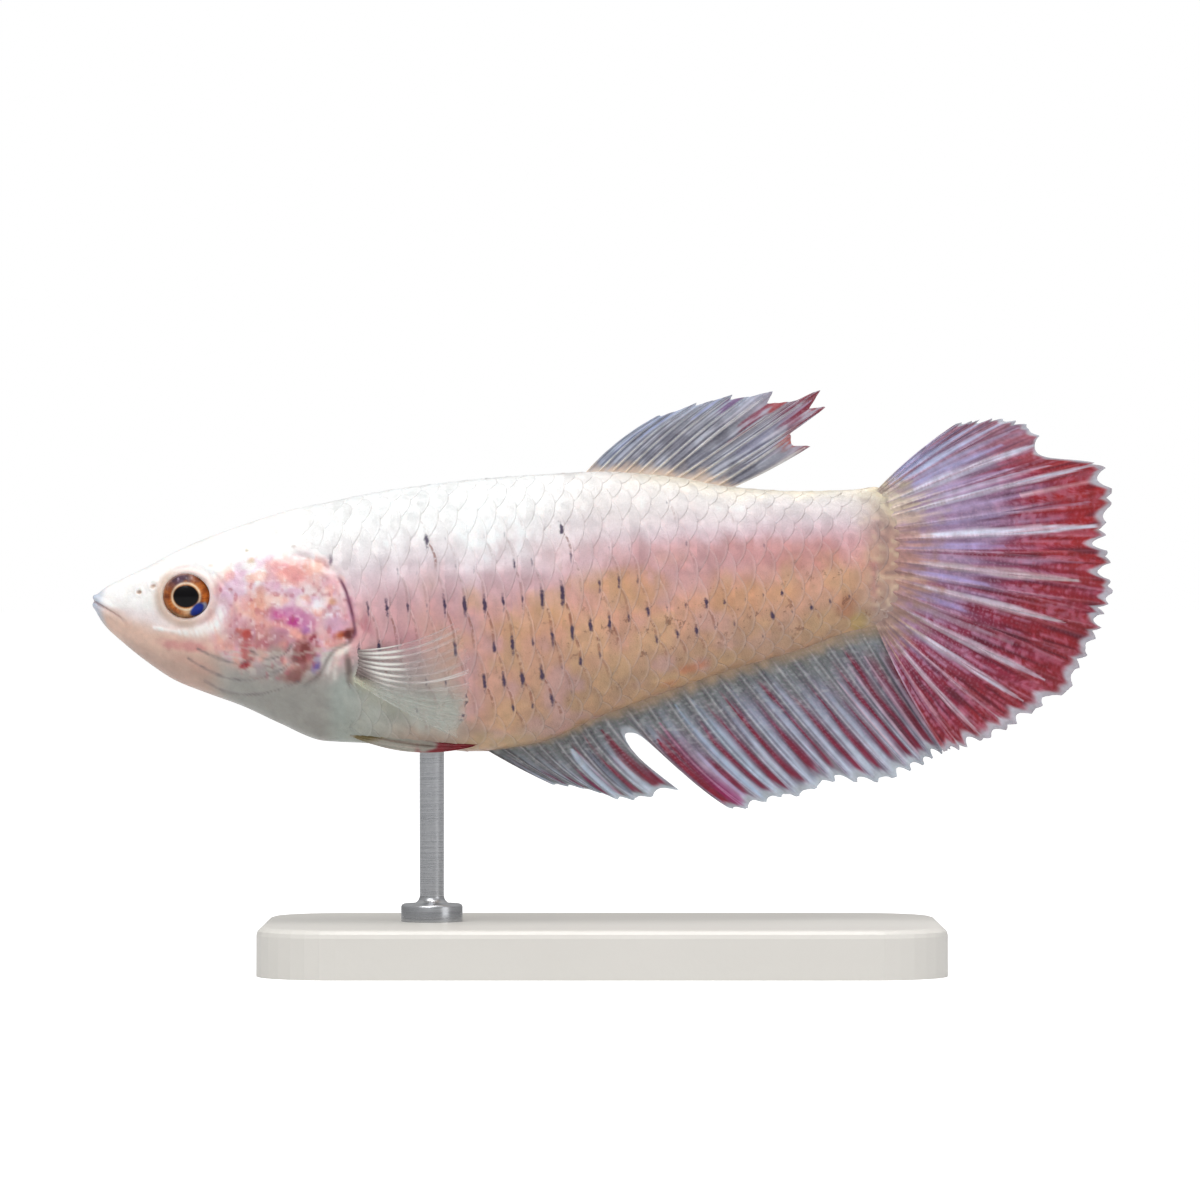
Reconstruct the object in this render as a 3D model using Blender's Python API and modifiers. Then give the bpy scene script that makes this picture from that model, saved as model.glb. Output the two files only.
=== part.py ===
"""A life-size plakat betta, swimming level, held by a small display stand.

The fish faces -X with its back up, and its left flank faces -Y. Its own measures are in millimetres:
lengths run back from the tip of the snout, and heights go up from the level of that tip. The origin is
on the floor, under the middle of the fish.
"""

import math

import bmesh
import bpy
import numpy as np
from mathutils import Matrix

MM = 0.001
GAP = 0.3  # clearance that neighbouring pieces keep

TOTAL_LENGTH = 63.0  # snout to the hind edge of the tail fin
SNOUT_HEIGHT = 22.84  # tip of the snout above the floor

# The head and body without fins: back from the snout, height of the back, of the belly, half width.
BODY_STATIONS = (
    (0.00, 0.05, -0.10, 0.12),
    (0.10, 0.22, -0.48, 0.45),
    (0.28, 0.38, -0.93, 0.75),
    (0.77, 0.78, -1.64, 1.20),
    (1.76, 1.30, -2.56, 1.72),
    (3.30, 2.04, -3.80, 2.22),
    (5.15, 3.02, -5.00, 2.65),
    (7.00, 3.83, -5.74, 2.97),
    (9.20, 4.63, -6.54, 3.32),
    (11.6, 5.40, -7.65, 3.66),
    (14.4, 6.11, -8.80, 3.95),
    (17.2, 6.70, -8.95, 4.15),
    (20.3, 7.16, -9.17, 4.20),
    (23.4, 7.53, -9.44, 4.10),
    (27.1, 7.81, -8.98, 3.75),
    (31.4, 8.02, -7.25, 3.20),
    (35.7, 7.72, -5.65, 2.65),
    (39.4, 7.08, -4.41, 2.15),
    (43.7, 6.82, -3.15, 1.65),
    (46.8, 6.91, -2.10, 1.30),
    (48.2, 7.09, -1.91, 1.10),
)
WIDEST_LEVEL = 0.54  # share of the depth at which a section is widest
SECTION_POWER = 2.2  # 2 would make each section an ellipse
RING_COUNT = 34
RING_POINTS = 30
NOSE_CROWDING = 1.5  # crowds the rings towards the snout

# Seen from the side, the stalk ends in a half ellipse that carries the tail fin.
STALK_END = 48.2
STALK_LEVEL = 2.59
STALK_ROUND_LENGTH = 2.04
STALK_HALF_DEPTH = 4.50
STALK_TIP_HALF_WIDTH = 0.50

# Where the body is parted.
NAPE_CENTRE = (2.1, -1.5)
NAPE_RADIUS = 13.2
STALK_START = 40.4
CUTTER_REACH = 12.0  # how far out the cutters go, past the widest of the body
MIDDLE_LEFT = 0.4  # what the cutters of one side leave free next to the middle
MOUTH_CORNER = (2.1, -1.25)
JAW_OUTLINE = (
    (-1.0, 0.45), MOUTH_CORNER, (3.2, -2.1), (4.0, -3.2), (4.4, -4.6), (4.5, -7.0), (-1.0, -7.0),
)
LIP_SWELL = 0.14
LIP_REACH = 0.42

COVER_OUTLINE = (
    (10.5, 2.35), (12.9, 2.45), (14.7, 1.70), (15.5, 0.55), (15.9, -0.85), (16.15, -1.9), (15.5, -2.75),
    (14.6, -3.6), (13.2, -4.8), (11.2, -5.45), (9.6, -5.1), (9.0, -3.6), (8.9, -1.6), (9.4, 0.9),
)
COVER_POINTS = 36
GILL_SPAN = (6.0, 20.0)  # the length of the body that lies behind the covers
COVER_PROUD = 0.14
COVER_THICKNESS = 0.95

EYE_CENTRE = (5.90, 2.12, 0.22)  # back, out, up
EYE_RADII = (1.50, 1.05, 1.45)
NOSTRILS = ((2.95, 0.50, 0.17), (3.85, 0.90, 0.22))  # back, up, radius
NOSTRIL_RISE = 0.2  # share of its radius by which a nostril's centre lies outside the skin

# Fins. Half thickness of the membrane, what a ray and the fleshy root add to it, and the share kept at
# the edge.
MEMBRANE = 0.26
RAY_RIDGE = 0.15
ROOT_SWELL = 0.16
EDGE_KEPT = 0.55
RAY_FLANK = 0.17  # from the crest of a ray to the membrane beside it
FORK_START = 0.45

DORSAL_BASE = (30.2, 39.1)
DORSAL_TIPS = (
    (0, 34.8, 11.36), (2, 37.2, 12.16), (4, 39.5, 12.72), (6, 41.95, 12.90), (7, 43.4, 12.5),
    (8, 44.9, 12.95), (9, 45.2, 11.90), (10, 43.6, 10.55), (11, 44.3, 9.50),
)
DORSAL_TEARS = {9: 0.20, 10: 0.16}
DORSAL_NOTCH = 0.055  # how far the edge draws in between rays, as a share of their length

ANAL_BASE = (23.9, 47.7)
ANAL_TIPS = (
    (0, 28.35, -11.40), (2.5, 30.7, -11.75), (4.5, 32.9, -12.40), (6, 34.5, -12.15), (7, 36.1, -11.75),
    (8, 39.3, -12.85), (9.2, 40.6, -12.90), (10.3, 41.8, -12.35), (12.5, 43.85, -12.05), (14.7, 45.65, -11.25),
    (17.5, 48.0, -11.30), (20, 50.1, -10.65), (22, 51.9, -9.75),
)
ANAL_TEARS = {7: 0.74}
ANAL_NOTCH = 0.04
ANAL_ASIDE = 0.62  # how far its hind end bends to the right, behind the tail fin

CAUDAL_CENTRE = (49.6, 2.47)
CAUDAL_RAYS = 15
CAUDAL_ROOTS = (82.0, -81.0)  # on the half ellipse of the stalk, in degrees
CAUDAL_DIRECTIONS = (66.0, -76.0)
CAUDAL_REACH = (
    (-76, 12.40), (-70, 12.35), (-61, 12.35), (-53, 12.60), (-44, 12.90), (-33, 13.40), (-22, 13.20),
    (-12, 13.45), (-2, 13.45), (4, 12.90), (9, 13.50), (16, 13.80), (25, 14.25), (29, 13.20), (35, 11.85),
    (47, 11.65), (54, 10.80), (66, 9.30),
)
CAUDAL_TEARS = {3: 0.10}
CAUDAL_NOTCH = 0.05
CAUDAL_ASIDE = 0.62  # how far its lowest rays bend to the left

PECTORAL_ROOT = ((15.75, -2.95), (16.05, -5.05))
PECTORAL_TIPS = ((0, 22.4, -1.40), (3, 23.4, -3.70), (5, 23.5, -6.00), (8, 22.6, -8.40))
PECTORAL_FLARE = 1.5
PECTORAL_SAG = ((0, 0.075), (3, 0.135), (5, 0.10), (8, 0.02))  # the rays curve up towards their tips
PECTORAL_CUP = 0.12
PECTORAL_NOTCH = 0.03

PELVIC_ROOT = 16.0
PELVIC_LENGTH = 7.9
PELVIC_OUT = 1.45
PELVIC_DEPTHS = ((0.0, 0.55), (0.35, 0.70), (0.70, 0.85), (1.0, 0.30))

ROD_BACK = 20.9
ROD_RADIUS = 0.75
FLANGE_RADIUS = 1.9
FLANGE_HEIGHT = 0.8
FLANGE_FILLET = 0.5
FLANGE_EDGE = 0.15
BASE_SIZE = (42.0, 24.0, 3.0)
BASE_CORNER = 5.0
BASE_BEVEL = 0.5


# Shared helpers


def clear_scene():
    for item in list(bpy.data.objects):
        bpy.data.objects.remove(item, do_unlink=True)


def material(name, colour, roughness, metallic=0.0):
    made = bpy.data.materials.new(name)
    made.use_nodes = True
    shader = made.node_tree.nodes["Principled BSDF"]
    shader.inputs["Base Color"].default_value = (*colour, 1.0)
    shader.inputs["Roughness"].default_value = roughness
    shader.inputs["Metallic"].default_value = metallic
    return made


def collection(name):
    made = bpy.data.collections.new(name)
    bpy.context.scene.collection.children.link(made)
    return made


def placed(points):
    """Points in fish measures (back, out and up, in millimetres) as points of the model in metres."""
    return (np.asarray(points, float) + (-TOTAL_LENGTH / 2, 0.0, SNOUT_HEIGHT)) * MM


def settle(made, name, look, into):
    """Names an object and moves it to its collection. One without a look is a cutter."""
    made.name = made.data.name = name
    for holder in list(made.users_collection):
        holder.objects.unlink(made)
    into.objects.link(made)
    if look is None:
        made.hide_render = True
        made.display_type = "WIRE"
    else:
        made.data.materials.append(look)
    return made


def add_mesh(name, points, faces, look, into):
    """A closed mesh from points in fish measures."""
    mesh = bpy.data.meshes.new(name)
    mesh.from_pydata(placed(points).tolist(), [], faces)
    shaped = bmesh.new()
    shaped.from_mesh(mesh)
    bmesh.ops.recalc_face_normals(shaped, faces=shaped.faces)
    shaped.to_mesh(mesh)
    shaped.free()
    return settle(bpy.data.objects.new(name, mesh), name, look, into)


def mesh_of(source):
    """The mesh that an object's modifiers or curve settings make."""
    bpy.context.view_layer.update()
    graph = bpy.context.evaluated_depsgraph_get()
    return bpy.data.meshes.new_from_object(source.evaluated_get(graph))


def through(stations, column, at):
    """A monotone cubic through one column of a table of stations, read at the places in `at`."""
    table = np.array(stations, float)
    x, y = table[:, 0], table[:, column]
    step = np.diff(x)
    slope = np.diff(y) / step
    tangent = np.zeros_like(y)
    before, after = slope[:-1], slope[1:]
    same_way = before * after > 0
    tangent[1:-1][same_way] = (2 * before * after)[same_way] / (before + after)[same_way]
    tangent[0], tangent[-1] = slope[0], slope[-1]
    at = np.clip(np.asarray(at, float), x[0], x[-1])
    i = np.clip(np.searchsorted(x, at) - 1, 0, len(step) - 1)
    t = (at - x[i]) / step[i]
    value = y[i] * (1 + 2 * t) * (1 - t) ** 2 + y[i + 1] * t * t * (3 - 2 * t)
    return value + step[i] * t * (1 - t) * (tangent[i] * (1 - t) - tangent[i + 1] * t)


def eased(start, end, at):
    t = np.clip((np.asarray(at, float) - start) / (end - start), 0.0, 1.0)
    return t * t * (3 - 2 * t)


def keep_largest(target):
    """Keeps the largest closed surface, and drops any scrap that a cut leaves."""
    shaped = bmesh.new()
    shaped.from_mesh(target.data)
    left = set(shaped.verts)
    islands = []
    while left:
        front = [left.pop()]
        island = set(front)
        while front:
            for edge in front.pop().link_edges:
                for vertex in edge.verts:
                    if vertex in left:
                        left.remove(vertex)
                        island.add(vertex)
                        front.append(vertex)
        islands.append(island)
    islands.sort(key=len)
    scraps = [vertex for island in islands[:-1] for vertex in island]
    bmesh.ops.delete(shaped, geom=scraps, context="VERTS")
    shaped.to_mesh(target.data)
    shaped.free()


def cut(target, operation, cutters):
    """Applies one Boolean for each cutter."""
    for cutter in cutters:
        modifier = target.modifiers.new("Cut", "BOOLEAN")
        modifier.operation = operation
        modifier.solver = "EXACT"
        modifier.object = cutter
        mesh = mesh_of(target)
        target.modifiers.clear()
        target.data = mesh
    keep_largest(target)
    return target


def taken(name, source, look, into):
    """A copy of a helper solid, as the start of a node."""
    return settle(bpy.data.objects.new(name, source.data.copy()), name, look, into)


def shade(target, angle=38.0):
    target.data.shade_smooth()
    target.data.set_sharp_from_angle(angle=math.radians(angle))


def closed_rings(rings, first_end, last_end):
    """Points and faces of a loft through rings of equal count, with one point closing each end."""
    count = rings.shape[1]
    points = np.vstack([rings.reshape(-1, 3), first_end, last_end])
    faces = []
    for row in range(len(rings) - 1):
        for k in range(count):
            a, b = row * count + k, row * count + (k + 1) % count
            faces.append((a, b, b + count, a + count))
    top = (len(rings) - 1) * count
    for k in range(count):
        after = (k + 1) % count
        faces.append((len(points) - 2, after, k))
        faces.append((len(points) - 1, top + k, top + after))
    return points, faces


def flat_plate(name, outline, side, into):
    """A side outline carried straight out, on one side (-1 or 1) or right across the fish (0)."""
    curve = bpy.data.curves.new(name, "CURVE")
    curve.dimensions = "2D"
    curve.fill_mode = "BOTH"
    reach = CUTTER_REACH if side == 0 else (CUTTER_REACH - MIDDLE_LEFT) / 2
    curve.extrude = reach * MM
    spline = curve.splines.new("POLY")
    spline.points.add(len(outline) - 1)
    for point, (back, up) in zip(spline.points, outline):
        point.co = (back * MM, up * MM, 0.0, 1.0)
    spline.use_cyclic_u = True
    drawn = bpy.data.objects.new(name, curve)
    bpy.context.scene.collection.objects.link(drawn)
    mesh = mesh_of(drawn)
    bpy.data.objects.remove(drawn, do_unlink=True)
    middle = side * (CUTTER_REACH + MIDDLE_LEFT) / 2
    turned = Matrix.Translation(placed((0.0, middle, 0.0))) @ Matrix.Rotation(math.pi / 2, 4, "X")
    mesh.transform(turned)
    shaped = bmesh.new()
    shaped.from_mesh(mesh)
    bmesh.ops.remove_doubles(shaped, verts=shaped.verts, dist=1e-6)
    bmesh.ops.recalc_face_normals(shaped, faces=shaped.faces)
    shaped.to_mesh(mesh)
    shaped.free()
    return settle(bpy.data.objects.new(name, mesh), name, None, into)


def grown(outline, by):
    """A closed outline with each side moved out by `by`."""
    points = np.array(outline, float)
    after = np.roll(points, -1, axis=0)
    ahead = after - points
    normals = np.stack([ahead[:, 1], -ahead[:, 0]], axis=1)
    normals /= np.linalg.norm(normals, axis=1, keepdims=True)
    normals *= np.sign(np.sum(points[:, 0] * after[:, 1] - after[:, 0] * points[:, 1]))
    before = np.roll(normals, 1, axis=0)
    return points + by * (normals + before) / (1 + np.sum(normals * before, axis=1, keepdims=True))


def rounded(outline, count):
    """A smooth closed curve through the points of an outline."""
    points = np.array(outline, float)
    place = np.linspace(0, len(points), count, endpoint=False)
    i = place.astype(int)
    t = (place - i)[:, None]
    p0, p1, p2, p3 = (points[(i + k) % len(points)] for k in (-1, 0, 1, 2))
    square = (2 * p0 - 5 * p1 + 4 * p2 - p3) * t**2
    cube = (3 * p1 - p0 - 3 * p2 + p3) * t**3
    return 0.5 * (2 * p1 + (p2 - p0) * t + square + cube)


def ball(name, centre, radii, segments, look, into):
    """A stretched sphere with its poles out to the sides."""
    bpy.ops.mesh.primitive_uv_sphere_add(segments=segments, ring_count=segments // 2, radius=MM)
    made = bpy.context.object
    stretched = Matrix.Diagonal((*radii, 1.0)) @ Matrix.Rotation(math.pi / 2, 4, "X")
    made.data.transform(stretched)
    made.location = placed(centre)
    return settle(made, name, look, into)


# Head and body


def body_section(back):
    """Height of the back, height of the belly and half width at places along the fish."""
    back = np.asarray(back, float)
    top = through(BODY_STATIONS, 1, back)
    bottom = through(BODY_STATIONS, 2, back)
    half_width = through(BODY_STATIONS, 3, back)
    past = np.clip((back - STALK_END) / STALK_ROUND_LENGTH, 0.0, 1.0)
    half_depth = STALK_HALF_DEPTH * np.sqrt(1 - past**2)
    top = np.where(past > 0, STALK_LEVEL + half_depth, top)
    bottom = np.where(past > 0, STALK_LEVEL - half_depth, bottom)
    return top, bottom, half_width + (STALK_TIP_HALF_WIDTH - half_width) * past


def body_side(back, up):
    """Half width of the body at a height."""
    top, bottom, half_width = body_section(back)
    level = bottom + WIDEST_LEVEL * (top - bottom)
    reach = np.where(up > level, top - level, level - bottom)
    share = np.clip(np.abs(up - level) / reach, 0.0, 1.0)
    return half_width * (1 - share**SECTION_POWER) ** (1 / SECTION_POWER)


def body_underside(back, out):
    """Height of the belly's surface at a distance out from the middle."""
    top, bottom, half_width = body_section(back)
    level = bottom + WIDEST_LEVEL * (top - bottom)
    share = np.clip(np.abs(out) / half_width, 0.0, 1.0)
    return level - (level - bottom) * (1 - share**SECTION_POWER) ** (1 / SECTION_POWER)


def lip_rise(back, up):
    """How far the lips swell out on either side of the line of the mouth."""
    run, fall = MOUTH_CORNER
    length = math.hypot(run, fall)
    along = (back * run + up * fall) / length
    off = np.abs(back * fall - up * run) / length
    fade = np.clip((length + 0.5 - along) / 0.8, 0.0, 1.0)
    return LIP_SWELL * fade * np.exp(-((off / LIP_REACH) ** 2))


def body_solid(name, swell, cutters, span=(0.0, 60.0)):
    """The fish without its fins, or the length of it within `span`, with its surface moved out by `swell`."""
    share = np.linspace(0.0, 1.0, RING_COUNT)[1:]
    end = STALK_END + STALK_ROUND_LENGTH * np.sin(np.radians((25, 45, 62, 76)))
    places = np.concatenate([(0.04, 0.12), STALK_END * share**NOSE_CROWDING, end])
    places = places[(places > span[0]) & (places < span[1])]
    turn = 2 * math.pi * np.arange(RING_POINTS) / RING_POINTS
    across = np.sign(np.cos(turn)) * np.abs(np.cos(turn)) ** (2 / SECTION_POWER)
    upward = np.sign(np.sin(turn)) * np.abs(np.sin(turn)) ** (2 / SECTION_POWER)
    top, bottom, half_width = (v[:, None] for v in body_section(places))
    level = bottom + WIDEST_LEVEL * (top - bottom)
    up = level + upward * (np.where(upward > 0, top - level, level - bottom) + swell)
    back = np.broadcast_to(places[:, None], up.shape)
    out = across * (half_width + swell)
    out = out + np.sign(out) * lip_rise(back, up)
    front = (max(span[0], -swell), 0.0, float(level[0, 0]))
    rear = (min(span[1], STALK_END + STALK_ROUND_LENGTH + swell), 0.0, float(level[-1, 0]))
    return add_mesh(name, *closed_rings(np.stack([back, out, up], axis=2), front, rear), None, cutters)


def nape_drum(name, radius, into):
    """A wide drum lying across the fish: the head is what lies inside it."""
    bpy.ops.mesh.primitive_cylinder_add(vertices=96, radius=radius * MM, depth=2 * CUTTER_REACH * MM)
    made = bpy.context.object
    made.data.transform(Matrix.Rotation(math.pi / 2, 4, "X"))
    made.location = placed((NAPE_CENTRE[0], 0.0, NAPE_CENTRE[1]))
    return settle(made, name, None, into)


def hind_block(name, front, into):
    """A block round all of the fish that lies behind `front`."""
    length = TOTAL_LENGTH - front
    bpy.ops.mesh.primitive_cube_add(size=MM)
    made = bpy.context.object
    made.data.transform(Matrix.Diagonal((length, 2 * CUTTER_REACH, 4 * CUTTER_REACH, 1.0)))
    made.location = placed((front + length / 2, 0.0, 0.0))
    return settle(made, name, None, into)


def build_gill_cover(side, look, fish, cutters):
    """A curved plate over the gill, and the cutter that clears its seat in the head and trunk."""
    outline = rounded(COVER_OUTLINE, COVER_POINTS)
    name = "gill_cover_left" if side < 0 else "gill_cover_right"
    proud = body_solid("proud_body", COVER_PROUD, cutters)
    core = body_solid("cover_core", COVER_PROUD - COVER_THICKNESS, cutters, GILL_SPAN)
    plate = flat_plate("cover_cutter", outline, side, cutters)
    cover = cut(taken(name, proud, look, fish), "INTERSECT", [plate])
    cut(cover, "DIFFERENCE", [core])
    shade(cover)
    seat = flat_plate("seat_cutter", grown(outline, GAP), side, cutters)
    deep = body_solid("seat_core", COVER_PROUD - COVER_THICKNESS - GAP, cutters, GILL_SPAN)
    return cut(seat, "DIFFERENCE", [deep])


def face_pits(cutters):
    """Cutters for the eye sockets and the nostrils."""
    pits = []
    for side in (-1, 1):
        centre = (EYE_CENTRE[0], side * EYE_CENTRE[1], EYE_CENTRE[2])
        pits.append(ball("socket", centre, [radius + GAP for radius in EYE_RADII], 22, None, cutters))
        for back, up, radius in NOSTRILS:
            centre = (back, side * (float(body_side(back, up)) + NOSTRIL_RISE * radius), up)
            pits.append(ball("nostril", centre, (radius, radius, radius), 10, None, cutters))
    return pits


def build_body(look, fish, cutters):
    whole = body_solid("whole_body", 0.0, cutters)
    seats = [build_gill_cover(side, look, fish, cutters) for side in (-1, 1)]
    in_nape = nape_drum("nape", NAPE_RADIUS, cutters)
    past_nape = nape_drum("past_nape", NAPE_RADIUS + GAP, cutters)
    in_jaw = flat_plate("jaw", JAW_OUTLINE, 0, cutters)
    past_jaw = flat_plate("past_jaw", grown(JAW_OUTLINE, GAP), 0, cutters)
    in_stalk = hind_block("stalk", STALK_START, cutters)
    past_stalk = hind_block("past_stalk", STALK_START - GAP, cutters)

    head = cut(taken("head", whole, look, fish), "INTERSECT", [in_nape])
    cut(head, "DIFFERENCE", [past_jaw, *seats, *face_pits(cutters)])
    lower_jaw = cut(taken("lower_jaw", whole, look, fish), "INTERSECT", [in_jaw])
    trunk = cut(taken("trunk", whole, look, fish), "DIFFERENCE", [past_nape, past_stalk, *seats])
    tail_stalk = cut(taken("tail_stalk", whole, look, fish), "INTERSECT", [in_stalk])
    for piece in (head, lower_jaw, trunk, tail_stalk):
        shade(piece)


def build_eyes(look, fish):
    for side, name in ((-1, "eye_left"), (1, "eye_right")):
        centre = (EYE_CENTRE[0], side * EYE_CENTRE[1], EYE_CENTRE[2])
        shade(ball(name, centre, EYE_RADII, 22, look, fish))


# Fins


class Ray:
    """A fin ray: a curve from root to tip that bows to one side, and sways out of the fin's plane."""

    def __init__(self, root, tip, bow, aside):
        self.root, self.tip = np.array(root, float), np.array(tip, float)
        chord = self.tip - self.root
        self.bend = (self.root + self.tip) / 2 + 2 * bow * np.array((-chord[2], 0.0, chord[0]))
        self.aside = aside

    def at(self, share):
        s = np.asarray(share, float)[:, None]
        points = (1 - s) ** 2 * self.root + 2 * s * (1 - s) * self.bend + s * s * self.tip
        points[:, 1] += self.aside(s[:, 0])
        return points


def fin_columns(rays, rows, notch, forked, tears):
    """Lines of points from root to edge, laid so that every ray has a line along its crest."""
    share = np.linspace(0.0, 1.0, rows)
    columns, crests = [], []

    def add(i, side, width, reach, crest):
        """A line that runs beside ray i at `width`, a function of the share and of the space to the next ray."""
        s = share * reach
        other = i + side if 0 <= i + side < len(rays) else i - side
        here, there = rays[i].at(s), rays[other].at(s)
        across = (there - here) * (1 if other == i + side else -1)
        space = np.linalg.norm(across, axis=1)
        columns.append(here + across / space[:, None] * width(s, space)[:, None])
        crests.append(crest(s))

    def fork(s, space):
        return np.minimum(0.05, 0.1 * space) + 0.19 * space * eased(FORK_START, 1.0, s)

    def flank(s, space):
        return (fork(s, space) if forked else 0.0) + np.minimum(RAY_FLANK, 0.28 * space)

    def beside_tear(s, space):
        return flank(s, space) + 0.06

    def half_way(s, space):
        return 0.5 * space

    def centre(s, space):
        return 0.0 * space

    def none(s):
        return 0.0 * s

    def crest(s):
        return RAY_RIDGE * (1 - 0.45 * s)

    def stem(s):
        return crest(s) * (1 - eased(FORK_START, FORK_START + 0.25, s)) if forked else crest(s)

    for i in range(len(rays)):
        add(i, -1, flank, 1 - 0.3 * notch, none)
        if forked:
            add(i, -1, fork, 1.0, crest)
        add(i, 1, centre, 1 - (0.6 * notch if forked else 0.0), stem)
        if forked:
            add(i, 1, fork, 1.0, crest)
        add(i, 1, flank, 1 - 0.3 * notch, none)
        if i == len(rays) - 1:
            break
        tear = tears.get(i, 0.0)
        if tear:
            add(i, 1, beside_tear, 1 - tear, none)
        add(i, 1, half_way, 1 - (tear or notch), none)
        if tear:
            add(i + 1, -1, beside_tear, 1 - tear, none)
    return np.array(columns), np.array(crests)


def fin_solid(name, rays, rows, look, into, notch=0.0, forked=False, tears=None):
    """A membrane of even thickness with the rays raised on both faces, split into triangles alike on both."""
    middle, crest = fin_columns(rays, rows, notch, forked, tears or {})
    share = np.broadcast_to(np.linspace(0.0, 1.0, rows), crest.shape)
    half = MEMBRANE + crest + ROOT_SWELL * np.exp(-((share / 0.09) ** 2))
    half = half * (1 - (1 - EDGE_KEPT) * eased(0.84, 1.0, share))
    offset = half[:, :, None] * np.array((0.0, 1.0, 0.0))
    points = np.vstack([(middle - offset).reshape(-1, 3), (middle + offset).reshape(-1, 3)])
    lines = len(middle)
    back = lines * rows
    faces = []
    for c in range(lines - 1):
        for r in range(rows - 1):
            a, b = c * rows + r, (c + 1) * rows + r
            one = np.linalg.norm(middle[c, r] - middle[c + 1, r + 1])
            two = np.linalg.norm(middle[c + 1, r] - middle[c, r + 1])
            pair = ((a, b, b + 1), (a, b + 1, a + 1)) if one < two else ((a, b, a + 1), (b, b + 1, a + 1))
            faces += pair
            faces += [tuple(back + k for k in reversed(face)) for face in pair]
    rim = [c * rows for c in range(lines)]
    rim += [(lines - 1) * rows + r for r in range(1, rows)]
    rim += [c * rows + rows - 1 for c in range(lines - 2, -1, -1)]
    rim += list(range(rows - 2, 0, -1))
    faces += [(p, back + p, back + q, q) for p, q in zip(rim, rim[1:] + rim[:1])]
    made = add_mesh(name, points, faces, look, into)
    shade(made, 60.0)
    return made


def build_dorsal_fin(look, fish):
    count = DORSAL_TIPS[-1][0] + 1
    roots = np.linspace(*DORSAL_BASE, count)
    height = body_section(roots)[0] + GAP
    order = np.arange(count)
    tip_x, tip_z = through(DORSAL_TIPS, 1, order), through(DORSAL_TIPS, 2, order)
    rays = []
    for i in order:
        bow = 0.05 - 0.07 * i / (count - 1)
        sway = 0.10 * math.sin(1.7 * i)
        root, tip = (roots[i], 0.0, height[i]), (tip_x[i], 0.0, tip_z[i])
        rays.append(Ray(root, tip, bow, lambda s, sway=sway: sway * s))
    fin_solid("dorsal_fin", rays, 7, look, fish, DORSAL_NOTCH, tears=DORSAL_TEARS)


def build_anal_fin(look, fish):
    count = ANAL_TIPS[-1][0] + 1
    roots = np.linspace(*ANAL_BASE, count)
    height = body_section(roots)[1] - GAP
    order = np.arange(count)
    tip_x, tip_z = through(ANAL_TIPS, 1, order), through(ANAL_TIPS, 2, order)
    rays = []
    for i in order:
        behind = ANAL_ASIDE * eased(15.0, 20.5, i)
        sway = 0.10 * math.sin(1.3 * i) * (1 - eased(15.0, 20.0, i))
        root, tip = (roots[i], 0.0, height[i]), (tip_x[i], 0.0, tip_z[i])
        rays.append(Ray(root, tip, -0.015, lambda s, a=behind, b=sway: a * eased(0.0, 0.5, s) + b * s))
    fin_solid("anal_fin", rays, 7, look, fish, ANAL_NOTCH, tears=ANAL_TEARS)


def build_caudal_fin(look, fish):
    at = np.radians(np.linspace(*CAUDAL_ROOTS, CAUDAL_RAYS))
    toward = np.linspace(*CAUDAL_DIRECTIONS, CAUDAL_RAYS)
    reach = through(CAUDAL_REACH, 1, toward)
    toward = np.radians(toward)
    root_x = STALK_END + (STALK_ROUND_LENGTH + GAP) * np.cos(at)
    root_z = STALK_LEVEL + (STALK_HALF_DEPTH + GAP) * np.sin(at)
    tip_x = CAUDAL_CENTRE[0] + reach * np.cos(toward)
    tip_z = CAUDAL_CENTRE[1] + reach * np.sin(toward)
    rays = []
    for i in range(CAUDAL_RAYS):
        from_top = i / (CAUDAL_RAYS - 1)
        bow = 0.03 * max(0.0, 1 - 3 * from_top) - 0.09 * max(0.0, 3 * from_top - 2)
        front = -CAUDAL_ASIDE * eased(10.5, 13.0, i)
        sway = 0.14 * math.sin(1.5 * i) * (1 - eased(10.0, 13.0, i))
        root, tip = (root_x[i], 0.0, root_z[i]), (tip_x[i], 0.0, tip_z[i])
        rays.append(Ray(root, tip, bow, lambda s, a=front, b=sway: a * eased(0.0, 0.45, s) + b * s))
    fin_solid("caudal_fin", rays, 9, look, fish, CAUDAL_NOTCH, forked=True, tears=CAUDAL_TEARS)


def build_pectoral_fins(look, fish):
    count = PECTORAL_TIPS[-1][0] + 1
    order = np.arange(count)
    top, bottom = (np.array(end) for end in PECTORAL_ROOT)
    tip_x, tip_z = through(PECTORAL_TIPS, 1, order), through(PECTORAL_TIPS, 2, order)
    start = float(body_side(*(top + bottom) / 2)) + GAP + MEMBRANE + RAY_RIDGE + ROOT_SWELL
    for side, name in ((-1, "pectoral_fin_left"), (1, "pectoral_fin_right")):
        rays = []
        for i in order:
            x, z = top + (bottom - top) * i / (count - 1)
            droop = 0.25 * abs(i - 0.5 * (count - 1)) / (count - 1)
            tip = (tip_x[i], side * (start + PECTORAL_FLARE - droop), tip_z[i])
            sag = float(through(PECTORAL_SAG, 1, i))
            cup = side * PECTORAL_CUP
            rays.append(Ray((x, side * start, z), tip, -sag, lambda s, cup=cup: cup * np.sin(math.pi * s)))
        fin_solid(name, rays, 7, look, fish, PECTORAL_NOTCH)


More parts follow.
